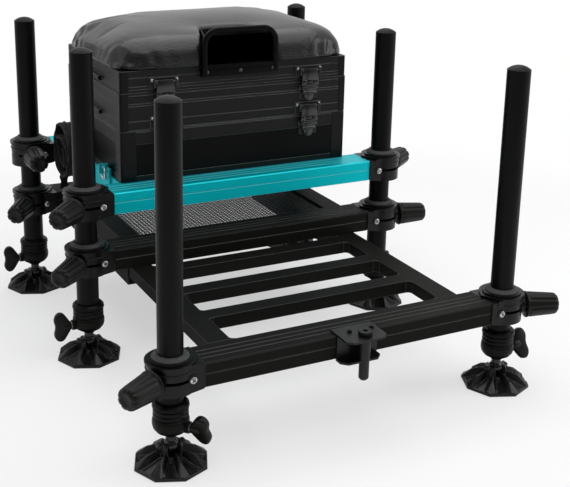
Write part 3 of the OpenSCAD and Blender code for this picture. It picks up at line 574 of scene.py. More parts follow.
class KnobSettings(bpy.types.PropertyGroup):
    """Shape of the clamp knobs and the feet."""

    lands: IntProperty(name="Lands", description="Number of lands round a knob", default=8)
    groove: FloatProperty(name="Groove depth", description="Depth of a knob's grooves in mm", default=1.9)
    groove_width: FloatProperty(
        name="Groove width", description="Width of a knob's grooves in mm", default=1.5
    )
    ridges: IntProperty(name="Ridges", description="Number of ridges on a foot", default=8)
    panel_depth: FloatProperty(
        name="Panel depth", description="Depth of the panels between the ridges in mm", default=2.6
    )


class NetSettings(bpy.types.PropertyGroup):
    """Weave of the net."""

    pitch: length("Pitch", "Distance between wires", 0.0066)
    wire: length("Wire", "Width of a wire", 0.0017)


class StageSettings(bpy.types.PropertyGroup):
    """Floor and lamps."""

    floor_colour: shade("Floor", "Colour of the floor", (0.86, 0.86, 0.86))
    shadow_lift: FloatProperty(
        name="Shadow lift",
        description="How far the floor's shadow is lightened where it is seen",
        default=0.5,
        min=0,
        max=1,
    )
    lamp_power: FloatProperty(
        name="Lamp power", description="Power of the large soft lamp", default=47.0, unit="POWER"
    )


# the finish of each node by the start of its name, also of those that own pieces stand for
NODE_FINISHES = {
    "teal_anodised": ("upper_frame_rails",),
    "black_extrusion": ("lower_frame_rails", "footplate_frame", "footplate_runners"),
    "black_casting": ("upper_corner_clamps", "lower_corner_clamps", "footplate_clamps"),
    "bushing_plastic": ("upper_clamp_bushings", "lower_clamp_bushings", "footplate_bushings"),
    "bright_steel": ("upper_clamp_screws", "strap_rings"),
    "panel_black": ("base_panels",),
    "box_black": ("base_box", "tray_box", "lid_frame"),
    "bracket_black": ("accessory_bracket", "bracket_bolt"),
    "handle_black": ("lift_handle",),
    "net_black": ("mesh_panel",),
    "leg_black": ("leg_",),
    "stem_black": ("stem_",),
    "knob_black": ("wing_", "knob_"),
    "latch_gunmetal": ("latch_",),
    "foot_black": ("foot_", "seat_cushion", "shoulder_strap"),
}


class SEAT_OT_finishes(bpy.types.Operator):
    """Makes the finishes and gives every carried-over node its own"""

    bl_idname = "seat.finishes"
    bl_label = "Finishes"

    def execute(self, context):
        look = context.scene.seat_finish
        # the lighter edge colours are painted highlights; the black rails' edges are also bare metal
        drawn_metal(
            "teal_anodised",
            look.rail_colour,
            roughness=0.4,
            metallic=0.62,
            run=(4, 900, 900),
            lift=0.6,
            edge_gain=7.0,
            highlight_colour=(0.3, 0.85, 0.9),
            gloss=0.15,
        )
        drawn_metal(
            "black_extrusion",
            toned(look.frame_black, 1.7),
            roughness=0.48,
            metallic=0.0,
            run=(4, 700, 700),
            lift=0.45,
            edge_gain=6.0,
            highlight_colour=(0.3, 0.3, 0.29),
            gloss=0.05,
            edge_metal=0.7,
        )
        casting, plastic = look.casting_black, look.plastic_black
        # name, colour, roughness, grain scale, grain depth, edge radius, share of the painted edge highlight,
        # gloss, brightness added to the painted edge highlight
        for row in (
            ("black_casting", casting, 0.34, 700.0, 0.00012, 0.0016, 0.8, 0.13, 0.05),
            ("bushing_plastic", toned(casting, 0.6), 0.34, 600.0, 0.00004, 0.001, 0.5, 0.05),
            ("panel_black", (0.0015, 0.0015, 0.0015), 0.34, 300.0, 0.00002, 0.0004, 0.2, 0.1),
            ("bracket_black", look.frame_black, 0.34, 500.0, 0.00002, 0.0006, 0.6, 0.3),
            ("stem_black", (0.003, 0.003, 0.0027), 0.2, 400.0, 0.00002, 0.0004, 0.3, 0.5),
            ("handle_black", (0.0025, 0.0025, 0.0024), 0.38, 500.0, 0.00003, 0.0008, 0.4, 0.08),
            ("pocket_black", (0.0015, 0.0015, 0.0015), 0.6, 500.0, 0.00003, 0.0006, 0.1, 0.2),
            ("knob_black", plastic, 0.42, 800.0, 0.00008, 0.001, 0.6, 0.22, 0.03),
            ("foot_black", toned(plastic, 0.7), 0.33, 600.0, 0.0001, 0.0014, 0.9, 0.36, 0.03),
            ("latch_gunmetal", (0.005, 0.005, 0.0047), 0.22, 500.0, 0.00002, 0.0007, 0.9, 0.62, 0.3),
            ("post_black", casting, 0.38, 500.0, 0.00002, 0.0005, 0.6, 0.2),
            ("net_black", (0.006, 0.006, 0.0055), 0.36, 900.0, 0.00002, 0.0003, 0.2, 0.3),
        ):
            moulded(*row)
        bright_metal("bright_steel", look.steel, 0.25)
        bright_metal("dark_steel", (0.10, 0.10, 0.10), 0.3)
        box_finish(look)
        leg_finish(look)
        for name, node in frame["nodes"].items():
            chosen = next(finish for finish, starts in NODE_FINISHES.items() if name.startswith(starts))
            node.data.materials.clear()
            node.data.materials.append(bpy.data.materials[chosen])
        return {"FINISHED"}


# cushion

PAD_CENTRE = ((PAD_LOW.x + PAD_HIGH.x) / 2, (PAD_LOW.y + PAD_HIGH.y) / 2)
PAD_HALF = ((PAD_HIGH.x - PAD_LOW.x) / 2, (PAD_HIGH.y - PAD_LOW.y) / 2)
# inset from the edge and height over the lid, in mm, from the lower edge to the crown
PAD_PROFILE = [
    (7, -0.6), (3.4, 0.0), (1.3, 2.4), (0.2, 6), (0, 12), (0, 18), (1.2, 27), (4.2, 36),
    (9.5, 45), (17, 52.5), (27, 58), (42, 62.2), (62, 65), (90, 67), (125, 68),
]


def squircle(half_x, half_y, power, count):
    """Points of a rounded rectangle, squarer with a higher power."""
    angles = np.linspace(0, TAU, count, endpoint=False)
    c, s = np.cos(angles), np.sin(angles)
    x = half_x * np.sign(c) * np.abs(c) ** (2 / power)
    y = half_y * np.sign(s) * np.abs(s) ** (2 / power)
    return np.c_[x, y]


def pad_shell(start):
    """Crowned cushion body before it swells, drawn in by start."""
    half_x, half_y = PAD_HALF
    square_power, crown_drop, crown_inset = 7.5, 3.5, 90
    around, least_half = 160, 0.012
    levels = []
    for inward, height in PAD_PROFILE:
        d = inward * MM + start * float(smoothstep(height, 1.0, 16.0))
        power = square_power - crown_drop * min(1.0, inward / crown_inset)
        ring = squircle(half_x - d, max(half_y - d, least_half), power, around)
        z = PAD_LOW.z + max(height * MM - start * height / 40, 0.0)
        levels.append((z, [(PAD_CENTRE[0] + x, PAD_CENTRE[1] + y) for x, y in ring]))
    return Shell().stack(levels).build("cushion_start")


def pocket_shell(grow):
    """Body that cuts the finger pocket and the room for the grip out of the cushion."""
    front = POCKET_FRONT - 0.05
    arch = POCKET_FRONT + 0.0035 + grow
    back = POCKET_FRONT + 0.078 + grow
    half, bend, slant, end = (x + grow for x in (0.0705, 0.066, 0.0449, 0.0349))
    right = [(half, front), (half, arch), (bend, arch + 0.001), (slant, back - 0.010), (end, back)]
    left = [(-x, y) for x, y in reversed(right)]
    plan = left[-1:] + right + left[:-1]
    levels = [(PAD_LOW.z - 0.02, plan), (PAD_HIGH.z + 0.03, plan)]
    return Shell().stack(levels).build("pocket_cut", smooth=False)


def swell(piece, settings):
    """Lets the cover swell with air pressure, its lower edge and pocket held, and keeps the result."""
    scene = bpy.context.scene
    before = points_of(piece.data)
    normals = np.array([v.normal for v in piece.data.vertices])
    pocket_half, pocket_back = 0.078, POCKET_FRONT + 0.090
    near_pocket = (np.abs(before[:, 0]) < pocket_half) & (before[:, 1] < pocket_back)
    held = piece.vertex_groups.new(name="held")
    for k, p in enumerate(before):
        low = float(smoothstep(p[2], PAD_LOW.z + 0.014, PAD_LOW.z + 0.002))
        wall = 1.0 if near_pocket[k] and abs(normals[k, 2]) < 0.5 else 0.0
        if max(low, wall) > 0.01:
            held.add([k], max(low, wall), "REPLACE")
    steps = 20
    cloth = piece.modifiers.new("cloth", "CLOTH")
    cloth.settings.use_pressure = True
    cloth.settings.uniform_pressure_force = settings.pressure
    cloth.settings.effector_weights.gravity = 0
    cloth.settings.vertex_group_mass = "held"
    cloth.settings.tension_stiffness = 40
    cloth.settings.compression_stiffness = 40
    cloth.settings.bending_stiffness = 2
    cloth.point_cache.frame_start = 1
    cloth.point_cache.frame_end = steps
    for step in range(1, steps + 1):
        scene.frame_set(step)
    graph = bpy.context.evaluated_depsgraph_get()
    after = points_of(piece.evaluated_get(graph).to_mesh())
    piece.evaluated_get(graph).to_mesh_clear()
    piece.modifiers.remove(cloth)
    scene.frame_set(1)
    shift = after - before
    length = np.linalg.norm(shift, axis=1)
    limit = settings.swell_limit
    keep = np.where(length > 1e-9, limit * np.tanh(length / limit) / np.maximum(length, 1e-9), 0)
    move_points(piece.data, before + shift * keep[:, None])


def gather_cover(points, settings):
    """Gathers the cover at its corners and gives its top small irregular dents."""
    rel = points[:, :2] - np.array(PAD_CENTRE)
    half = np.array(PAD_HALF)
    height = (points[:, 2] - PAD_LOW.z) / (PAD_HIGH.z - PAD_LOW.z)
    side = np.maximum(np.abs(rel[:, 0]) / half[0], np.abs(rel[:, 1]) / half[1])
    on_side = smoothstep(side, 0.84, 0.95) * smoothstep(height, 0.97, 0.6)
    corner_gap = np.hypot(half[0] - np.abs(rel[:, 0]), half[1] - np.abs(rel[:, 1]))
    near_corner = smoothstep(corner_gap, 0.125, 0.02)
    run = rel[:, 0] + rel[:, 1] * np.sign(rel[:, 0] * rel[:, 1] + 1e-12)
    wobble = np.array([noise.noise(Vector((p[0] * 9, p[1] * 9, p[2] * 5))) for p in points])
    wide_pleats = np.sin(run * 250 + wobble * 5.0)
    fine_pleats = np.sin(run * 450 + wobble * 8.0 + 1.1)
    pleats = wide_pleats * 0.7 + fine_pleats * 0.3
    dent = 0.0013
    fade = (0.35 + 0.65 * smoothstep(height, 0.75, 0.25)) * smoothstep(height, 0.02, 0.14)
    depth = settings.gather_depth * on_side * near_corner * fade * pleats
    outward = rel / np.maximum(np.linalg.norm(rel, axis=1, keepdims=True), 1e-9)
    points[:, :2] += outward * depth[:, None]
    points[:, 2] += wobble * dent * smoothstep(height, 0.2, 0.8)


def fit_to_solid(piece):
    """Brings the cover back to the height of its solid, and to its width with a millimetre of fabric."""
    points = points_of(piece.data)
    low, high = points.min(0), points.max(0)
    fabric = 0.001
    target_low = np.array([PAD_LOW.x - fabric, PAD_LOW.y - fabric, PAD_LOW.z])
    target_high = np.array([PAD_HIGH.x + fabric, PAD_HIGH.y + fabric, PAD_HIGH.z])
    move_points(piece.data, target_low + (points - low) / (high - low) * (target_high - target_low))


class SEAT_OT_cushion(bpy.types.Operator):
    """Makes the vinyl cushion and swells it"""

    bl_idname = "seat.cushion"
    bl_label = "Cushion"

    def execute(self, context):
        settings = context.scene.seat_cushion
        piece = pad_shell(settings.start_inset)
        cut = pocket_shell(0.0012)
        boolean = piece.modifiers.new("cut", "BOOLEAN")
        boolean.object = cut
        boolean.operation = "DIFFERENCE"
        boolean.solver = "EXACT"
        apply_modifiers(piece)
        bpy.data.objects.remove(cut)
        remesh = piece.modifiers.new("remesh", "REMESH")
        remesh.mode = "VOXEL"
        remesh.voxel_size = settings.voxel
        remesh.use_smooth_shade = True
        apply_modifiers(piece)
        swell(piece, settings)
        points = points_of(piece.data)
        gather_cover(points, settings)
        move_points(piece.data, points)
        smooth = piece.modifiers.new("smooth", "SMOOTH")
        smooth.factor = 0.5
        smooth.iterations = 2
        division = piece.modifiers.new("division", "SUBSURF")
        division.levels = 1
        division.render_levels = 1
        apply_modifiers(piece)
        fit_to_solid(piece)
        for polygon in piece.data.polygons:
            polygon.use_smooth = True
        piece.name = "seat_cover"
        dress(piece, "lid", cover_finish(settings.colour), "seat_cushion")
        return {"FINISHED"}


# strap

# the strap's run in mm behind the rear strap ring and over its ear: two turns, then the tail
FOLD_ROUTE = [
    (-64, -25), (-57, 3), (-40, 19), (-12, 27), (14, 25), (29, 11), (32, -11), (24, -35),
    (6, -55), (-18, -63), (-38, -55), (-48, -37), (-46, -21), (-38, -5), (-20, 3.7), (4, 3.7),
    (14, 2), (19, -8), (19, -21), (8, -39), (-12, -47), (-28, -41), (-32, -25), (-27, -10),
]
FOLD_TAIL = [(8, -53), (15, -69), (21, -81), (21, -91), (12, -97), (0, -98), (-10, -94)]
RING_EAR = (BOX_REAR - 0.045, RAIL_LOW.z + 0.055)


def smooth_path(points, steps):
    """Catmull-Rom curve through the points."""
    p = [Vector(q) for q in points]
    p = [p[0] * 2 - p[1], *p, p[-1] * 2 - p[-2]]
    path = []
    for a, b, c, d in zip(p, p[1:], p[2:], p[3:]):
        for s in range(steps):
            t = s / steps
            bend = (2 * a - 5 * b + 4 * c - d) * t * t + (3 * b - a - 3 * c + d) * t * t * t
            path.append(0.5 * (2 * b + (c - a) * t + bend))
    path.append(p[-2])
    return path


def soft_section(thick, steps=10):
    """Section of a soft band: share of its half width, and height, all round."""
    angles = [math.pi * k / steps for k in range(1, steps)]
    top = [(-math.cos(a), thick / 2 * math.sin(a) ** 0.35) for a in angles]
    return [(-1.0, 0.0), *top, (1.0, 0.0), *((share, -n) for share, n in reversed(top))]


def band_shell(shell, path, across, width, thick, waver, phase):
    """A soft flat band along a path in the YZ plane, wavering across it."""
    rings = []
    half = width / 2
    for k, point in enumerate(path):
        ahead = path[min(k + 1, len(path) - 1)] - path[max(k - 1, 0)]
        ahead.normalize()
        normal = Vector((0, -ahead.z, ahead.y))
        s = k / len(path)
        lean = waver * math.sin(TAU * (1.4 * s + phase))
        middle = Vector((across + lean, point[1], point[2]))
        pinch = 0.86 + 0.14 * math.sin(TAU * (3.1 * s + 2 * phase))
        ring = []
        for share, n in soft_section(thick):
            x = share * half * pinch
            crumple = 2.2 * waver * noise.noise(Vector((s * 34, share * 2.6, phase * 9)))
            ring.append(middle + Vector((x, 0, 0)) + normal * (n + crumple))
        rings.append(ring)
    shell.loft(rings)


class SEAT_OT_strap(bpy.types.Operator):
    """Makes the bunched shoulder strap"""

    bl_idname = "seat.strap"
    bl_label = "Shoulder strap"

    def execute(self, context):
        low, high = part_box("shoulder_strap")
        middle = (low.x + high.x) / 2
        shell = Shell()
        for route, width, thick, waver, phase in (
            (FOLD_ROUTE, 0.031, 0.0054, 0.0016, 0.1),
            (FOLD_TAIL, 0.017, 0.0026, 0.0012, 0.7),
        ):
            path = smooth_path([(0, RING_EAR[0] + y * MM, RING_EAR[1] + z * MM) for y, z in route], 10)
            band_shell(shell, path, middle, width, thick, waver, phase)
        piece = shell.build("strap_folds", crease=60)
        dress(piece, "seat_frame", webbing_finish(), "shoulder_strap")
        return {"FINISHED"}


# knobs and wing screws, made along +X in millimetres

# distance along the knob, radius and depth of the grooves there
KNOB_PROFILE = [
    (0, 6, 0), (0, 18.6, 0), (0.7, 20.2, 0), (1.8, 20.9, 0), (3.2, 20.9, 0), (4.2, 19.8, 0),
    (4.9, 18.9, 0), (5.8, 19.2, 0.3), (6.8, 20.0, 0.8), (8.5, 20.0, 1), (18, 19.2, 1), (30, 18.3, 1),
    (42, 17.4, 1), (47.5, 16.9, 1), (50.0, 16.2, 1), (51.9, 14.9, 0.9), (53.2, 13.0, 0.6),
    (53.9, 10.6, 0.25), (54, 8, 0), (53.5, 7.2, 0), (53.4, 0.3, 0),
]
KNOB_START = 38.4
STUD_FROM = 18.5


def knob_shell(settings):
    """Knob with broad lands between narrow grooves."""
    steps = 12 * settings.lands
    spacing = 360 / settings.lands
    rings = []
    for x, radius, share in KNOB_PROFILE:
        ring = []
        for k in range(steps):
            turn = 360 * k / steps
            off = (turn + spacing / 2) % spacing - spacing / 2
            near = math.radians(off) * radius / settings.groove_width
            r = radius - settings.groove * share * math.exp(-near * near)
            angle = math.radians(turn)
            ring.append((KNOB_START + x, r * math.cos(angle), r * math.sin(angle)))
        rings.append(ring)
    return Shell().loft(rings)


def stud_shell(length, radius, washer, washer_from):
    """Clamping stud with its washer."""
    shell = Shell()
    lathe(shell, [(radius, STUD_FROM), (radius, washer_from - 0.3)])
    lathe(shell, [(radius, washer_from + 2.2), (radius, length)])
    rim = [(washer - 0.6, 0), (washer, 0.4), (washer, 1.3), (washer - 0.6, 1.7)]
    return lathe(shell, [(r, washer_from + h) for r, h in rim], 48)


class SEAT_OT_knobs(bpy.types.Operator):
    """Makes the clamp knobs with their studs and washers"""

    bl_idname = "seat.knobs"
    bl_label = "Clamp knobs"

    def execute(self, context):
        settings = context.scene.seat_knob
        for node in sorted(n for n in frame["nodes"] if n.startswith("knob_")):
            place = JOINTS[node]
            stud = stud_shell(length=50, radius=4, washer=10, washer_from=36.55)
            for part, shell, slot, finish in (
                ("grip", knob_shell(settings), "knob_plastic", "knob_black"),
                ("stud", stud, "screw_steel", "bright_steel"),
            ):
                piece = shell.build(node + "_" + part, crease=50)
                set_down(piece, place["pos_m"], place["axis"])
                dress(piece, node, finish, node)
        return {"FINISHED"}


# half of a wing's outline, along the screw and out to one side
WING_OUTLINE = [
    (-1, 0), (-0.8, 3.2), (0.4, 6.4), (2.4, 9.8), (4.8, 13.6), (7.4, 17.6), (10.2, 21.4),
    (13.4, 24.0), (17.0, 24.9), (20.6, 24.3), (23.8, 21.8), (26.2, 17.8), (27.2, 13.4),
    (26.9, 9.4), (26.0, 6.0), (25.3, 3.0), (25.1, 0),
]
WING_HUB = [(6.2, 30.4), (7.2, 31.2), (7.4, 33), (7.2, 40), (6.2, 43.5), (4.0, 45.2)]
WING_START = 31.0
WING_THICK = 11.0
# degrees that a screw's wings are turned about it at rest
WING_TURN = {"front_left": 22, "front_right": -25}


class SEAT_OT_wings(bpy.types.Operator):
    """Makes the wing screws on the legs' collars"""

    bl_idname = "seat.wings"
    bl_label = "Wing screws"

    def execute(self, context):
        outline = WING_OUTLINE + [(x, -v) for x, v in WING_OUTLINE[-2:0:-1]]
        outline = [(WING_START + x, v) for x, v in outline]
        for leg in LEGS:
            node = "wing_screw_" + leg
            place = JOINTS[node]
            turn = math.radians(WING_TURN.get(leg, 0))
            ahead = Vector(place["axis"])
            up = Matrix.Rotation(turn, 3, ahead) @ Vector((0, 0, 1))
            wings = plate(Shell(), outline, -WING_THICK / 2, WING_THICK / 2, 2.6)
            lathe(wings, WING_HUB)
            piece = set_down(wings.build(node + "_wings", crease=55), place["pos_m"], ahead, up)
            dress(piece, node, "knob_black", node)
            stud = stud_shell(length=33, radius=3, washer=6, washer_from=28.6)
            piece = set_down(stud.build(node + "_stud", crease=50), place["pos_m"], ahead)
            dress(piece, node, "bright_steel", node)
        return {"FINISHED"}


# feet, made about the leg's axis in millimetres over the ground

SOLE_REACH = 54.0
SOLE_HUB = 15.5
RIM_HIGH = 4.5
BALL_HIGH = 28.0
BALL_ROOM = 11.85
CUP_LOW = 17.0
JAW_HALF_ANGLE = 52
EAR_OUT = 16.8
EAR_HIGH = 29.0
EAR = [(1.6, -4.4), (3.9, -4.4), (4.6, -3.7), (4.6, 3.7), (3.9, 4.4), (1.6, 4.4)]
EAR_SCREW = [
    (0.2, -4.6), (1.2, -4.6), (1.2, -5.6), (2.6, -5.6), (3.0, -5.2), (3.0, -4.3), (1.5, -4.3),
    (1.5, 5.2), (0.2, 5.2),
]


def sole_height(r, angle, settings):
    """Height of the sole: ridges with a triangular end, and framed panels between them."""
    half = math.pi / settings.ridges
    off = np.abs((angle + half) % (2 * half) - half)
    x, e = r * np.cos(off), r * np.sin(off)
    xs, es = r * np.cos(half - off), r * np.sin(half - off)
    reach = SOLE_REACH * math.cos(half)
    t = np.clip((xs - SOLE_HUB) / (reach - SOLE_HUB), 0, 1)
    valley = RIM_HIGH + 11.5 * (1 - t) ** 1.2
    crest = np.interp(x, [15, 25, 37, SOLE_REACH], [24, 23.4, 18.4, RIM_HIGH])
    foot = np.interp(x, [14, 25, 40, SOLE_REACH], [3.2, 5.0, 8.2, 8.0])
    flat = np.interp(x, [14, 36, SOLE_REACH], [0.7, 1.0, 7.2])
    ridge = valley + (crest - valley) * np.clip((foot - e) / np.maximum(foot - flat, 0.4), 0, 1)
    panel = xs * math.tan(half) - foot / math.cos(half) - 1.5 - es
    frame_low = smoothstep(xs, 19.5, 20.7) * smoothstep(reach - 3.4 - xs, 0, 1.1)
    return ridge - settings.panel_depth * smoothstep(panel, 0, 1.0) * frame_low


def sole_shell(shell, settings):
    """The sole, from its hub over the ridges to the rim and down to the ground."""
    around = settings.ridges * 28
    half = math.pi / settings.ridges
    angle = np.linspace(0, TAU, around, endpoint=False)
    off = np.abs((angle + half) % (2 * half) - half)
    edge = SOLE_REACH * math.cos(half) / np.cos(half - off)
    steps = 42

    def ring(r, z):
        return np.c_[r * np.cos(angle), r * np.sin(angle), z * np.ones(around)]

    rings = [ring(14.5, 11.0)]
    for k in range(steps + 1):
        share = (1 - math.cos(math.pi * k / steps)) / 2 * 0.25 + k / steps * 0.75
        r = SOLE_HUB + share * (edge - 0.5 - SOLE_HUB)
        rings.append(ring(r, sole_height(r, angle, settings)))
    for draw, z in ((0.15, RIM_HIGH - 0.4), (0.0, RIM_HIGH - 1.1), (0.0, 0.9), (0.5, 0.25), (1.2, 0.0)):
        rings.append(ring(edge - draw, z))
    shell.loft(rings)


def cup_rings():
    """Socket cup, its wall cut low towards the front and the rear so that the ball shows."""
    bowl = [math.radians(20 + 68 * k / 9) for k in range(10)]
    inner = [(BALL_ROOM * math.cos(a), BALL_HIGH - BALL_ROOM * math.sin(a)) for a in bowl]
    outer = [(16.4, 11), (16.9, 13), (16.9, 22), (16.3, BALL_HIGH - 4)]
    rings = turned(outer + inner + [(0.4, 11)], 96)
    for ring in rings:
        for point in ring:
            kept = float(smoothstep(abs(math.cos(math.atan2(point.y, point.x))), 0.5, 0.62))
            point.z = min(point.z, CUP_LOW) + max(point.z - CUP_LOW, 0.0) * kept
    return rings


def foot_shell(settings):
    """Sole, socket cup, the two jaws round the ball and the ears of their screw."""
    shell = Shell()
    sole_shell(shell, settings)
    shell.loft(cup_rings())
    lip = BALL_ROOM * math.sin(math.radians(64))
    low, high = 23.6, 33.2
    jaw = [(16.4, low), (16.7, 27), (16.2, 30.5), (14.9, 32.4), (13.2, high)]
    jaw += [(lip + 0.2, high), (BALL_ROOM, BALL_HIGH), (lip + 0.9, low)]
    reach = math.radians(JAW_HALF_ANGLE)
    for side in (0, math.pi):
        angles = np.linspace(side - reach, side + reach, 19)
        shell.loft([[(r * math.cos(a), r * math.sin(a), z) for r, z in jaw] for a in angles])
        lathe(shell, EAR, 32, (EAR_OUT * math.cos(side), 0, EAR_HIGH), (0, 1, 0))
    return shell


def ear_screws():
    """Screws through the ears of the jaws."""
    shell = Shell()
    for side in (-1, 1):
        lathe(shell, EAR_SCREW, 24, (side * EAR_OUT, 0, EAR_HIGH), (0, 1, 0))
    return shell


class SEAT_OT_feet(bpy.types.Operator):
    """Makes the ridged feet with their ball sockets"""

    bl_idname = "seat.feet"
    bl_label = "Feet"

    def execute(self, context):
        for leg in LEGS:
            node = "foot_" + leg
            place = (LEG_AT[leg].x, LEG_AT[leg].y, 0)
            for part, shell, slot, finish in (
                ("sole", foot_shell(context.scene.seat_knob), "foot_plastic", "foot_black"),
                ("screws", ear_screws(), "screw_steel", "dark_steel"),
            ):
                piece = set_down(shell.build(node + "_" + part, crease=32), place)
                dress(piece, node, finish, node)
        return {"FINISHED"}


# screws of the clamps

SCREW_INBOARD = 21
SCREW_FORWARD = 30.2


def cross_head(shell, centre, radius=5.0, height=2.9):
    """A pan head with a cross recess, its top towards -Y."""
    around = 64
    diagonal, dome = 0.7071, 0.42
    slot_half, slot_reach, slot_depth = 0.62, 0.62, 1.5
    rings = []
    for share in (1.0, 1.0, 0.97, 0.9, 0.78, 0.64, 0.5, 0.36, 0.22, 0.1, 0.02):
        ring = []
        level = height * (1 - dome * share**3) if rings else 0.0
        for k in range(around):
            angle = TAU * k / around
            x, z = share * radius * math.cos(angle), share * radius * math.sin(angle)
            u, v = (x + z) * diagonal, (x - z) * diagonal
            slotted = min(abs(u), abs(v)) < slot_half and share < slot_reach
            y = centre[1] - level + (slot_depth if slotted else 0)
            ring.append((centre[0] + x, y, centre[2] + z))
        rings.append(ring)
    shell.loft(rings)


class SEAT_OT_screws(bpy.types.Operator):
    """Makes the cross-head screws of the clamp castings"""

    bl_idname = "seat.screws"
    bl_label = "Clamp screws"

    def execute(self, context):
        ties = {
            "upper": ("seat_frame", "knob_upper_middle_left", LEGS[2:], "upper_clamp_screws"),
            "lower": ("lower_frame", "knob_lower_middle_left", LEGS[2:], None),
            "footplate": ("footplate", "knob_footplate_left", LEGS[:2], None),
        }
        for level, (body, knob, legs, node) in ties.items():
            shell = Shell()
            for leg in legs:
                at = LEG_AT[leg] / MM
                x = at.x - math.copysign(SCREW_INBOARD, at.x)
                cross_head(shell, (x, at.y - SCREW_FORWARD, JOINTS[knob]["pos_m"][2] / MM))
            piece = set_down(shell.build(level + "_screw_heads", crease=50))
            dress(piece, body, "bright_steel", node)
        return {"FINISHED"}


# net

NET_RIM = 0.007
NET_BEVEL = 0.0004


def wire_section(run, half):
    """Section of a wire. Wires along the seat, run 1, are wider and flatter than those across it."""
    wide, tall = (0.7 * half, 0.95 * half) if run == 0 else (1.1 * half, 0.5 * half)
    left = [(-0.7 * wide, tall), (-wide, 0.6 * tall)]
    right = [(wide, 0.6 * tall), (0.7 * wide, tall)]
    return [(-wide, -tall), (wide, -tall), *right, *left]


def weave(shell, places, run, half, level):
    """Wires one way, each over and under those that cross it."""
    across = 1 - run
    rise = 0.35 * half
    for i, side in enumerate(places[across]):
        rings = []
        for j, ahead in enumerate(places[run]):
            lift = rise * ((1 if (i + j + run) % 2 else -1) + run)
            ring = []
            for du, dz in wire_section(run, half):
                point = [0, 0, level + lift + dz]
                point[run] = ahead
                point[across] = side + du
                ring.append(point)
            rings.append(ring)
        shell.loft(rings)


class SEAT_OT_net(bpy.types.Operator):
    """Weaves the net in the lower frame"""

    bl_idname = "seat.net"
    bl_label = "Net"

    def execute(self, context):
        settings = context.scene.seat_net
        low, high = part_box("mesh_panel")
        level = (low.z + high.z) / 2
        places = []
        for axis in (0, 1):
            first, last = low[axis] + NET_RIM * 0.5, high[axis] - NET_RIM * 0.5
            count = int((last - first) / settings.pitch)
            places.append([first + i * (last - first) / count for i in range(count + 1)])
        shell = Shell()
        for run in (0, 1):
            weave(shell, places, run, settings.wire / 2, level)
        sides = [((x, x + NET_RIM), (low.y, high.y)) for x in (low.x, high.x - NET_RIM)]
        ends = [((low.x + NET_RIM, high.x - NET_RIM), (y, y + NET_RIM)) for y in (low.y, high.y - NET_RIM)]
        for x, y in sides + ends:
            strip = [(x[0], y[0]), (x[1], y[0]), (x[1], y[1]), (x[0], y[1])]
            upright(shell, strip, low.z, high.z, NET_BEVEL)
        dress(shell.build("net_wires", crease=30), "lower_frame", "net_black", "mesh_panel")
        return {"FINISHED"}


# footplate, in millimetres from the front legs' axes

KNOB_OVER_RAIL = 15.5
SLAT_HEIGHT = 20
SLAT_DEPTH = 29
SLAT_COUNT = 3
SLAT_STEP = 99.5
REAR_SLAT = 304
FRONT_RAIL_REAR = 28
SIDE_RAIL_INNER = 177.0
FILLET = 8.0


class SEAT_OT_fillets(bpy.types.Operator):
    """Makes the fillets where the footplate's slats meet its side rails"""

    bl_idname = "seat.fillets"
    bl_label = "Slat fillets"

    def execute(self, context):
        top = JOINTS["knob_footplate_left"]["pos_m"][2] / MM - KNOB_OVER_RAIL + RAIL_HEIGHT
        low = top - SLAT_HEIGHT
        front = LEG_AT["front_left"].y / MM
        buried = -0.2
        bend = arc(FILLET, FILLET, FILLET, 270, 180)
        corner = [(buried, buried), (FILLET, buried), *bend, (buried, FILLET)]
        edges = [(front + FRONT_RAIL_REAR, 1)]
        for k in range(SLAT_COUNT):
            y = front + REAR_SLAT - SLAT_STEP * k
            edges += [(y, -1), (y + SLAT_DEPTH, 1)]
        shell = Shell()
        for side in (-1, 1):
            for y, way in edges:
                plan = [(side * (SIDE_RAIL_INNER - u), y + way * v) for u, v in corner]
                shell.stack([(low + 0.15, plan), (top - 0.15, plan)])
        piece = set_down(shell.build("slat_fillets"))
        dress(piece, "footplate", "black_extrusion")
        return {"FINISHED"}


# the box's posts, latches and grip, in millimetres

POST_RADIUS = 5
POST_PROUD = 0.55
POST_HIDDEN = 1.2


def post_plan(half_x, half_y, width):
    """Plan of a corner post that wraps the corner at plus x, plus y."""
    bend_x, bend_y = half_x - POST_RADIUS, half_y - POST_RADIUS
    plan = [(half_x + POST_PROUD, half_y - width), (half_x + POST_PROUD, bend_y)]
    plan += arc(bend_x, bend_y, POST_RADIUS + POST_PROUD, 8, 82, 8)
    plan += [(bend_x, half_y + POST_PROUD), (half_x - width, half_y + POST_PROUD)]
    inner_x, inner_y = half_x - POST_HIDDEN, half_y - POST_HIDDEN
    return plan + [(half_x - width, inner_y), (inner_x, inner_y), (inner_x, half_y - width)]


class SEAT_OT_posts(bpy.types.Operator):
    """Makes the corner posts of the base, the tray and the lid"""

    bl_idname = "seat.posts"
    bl_label = "Corner posts"

    def execute(self, context):
        middle = (BOX_FRONT + BOX_REAR) / 2 / MM
        base_z = RAIL_LOW.z / MM + RAIL_HEIGHT
        # name, body, lower and upper end, width of each leaf and how far the walls step in
        levels = (
            ("base", "seat_frame", base_z + 0.6, TRAY_Z / MM - 1.0, 26, 0),
            ("tray", "tray", TRAY_Z / MM + 0.8, LID_Z / MM - 0.8, 14, 0),
            ("lid", "lid", LID_Z / MM + 0.6, PAD_LOW.z / MM - 0.4, 14, 1),
        )
        for name, body, low, high, width, step in levels:
            shell = Shell()
            plan = post_plan(BOX_HALF / MM - step, (BOX_REAR - BOX_FRONT) / 2 / MM - step, width)
            for sx in (-1, 1):
                for sy in (-1, 1):
                    upright(shell, [(sx * x, sy * y) for x, y in plan], low, high, 0.4)
            piece = set_down(shell.build(name + "_corner_posts"), (0, middle * MM, 0))
            dress(piece, body, "post_black")
        return {"FINISHED"}


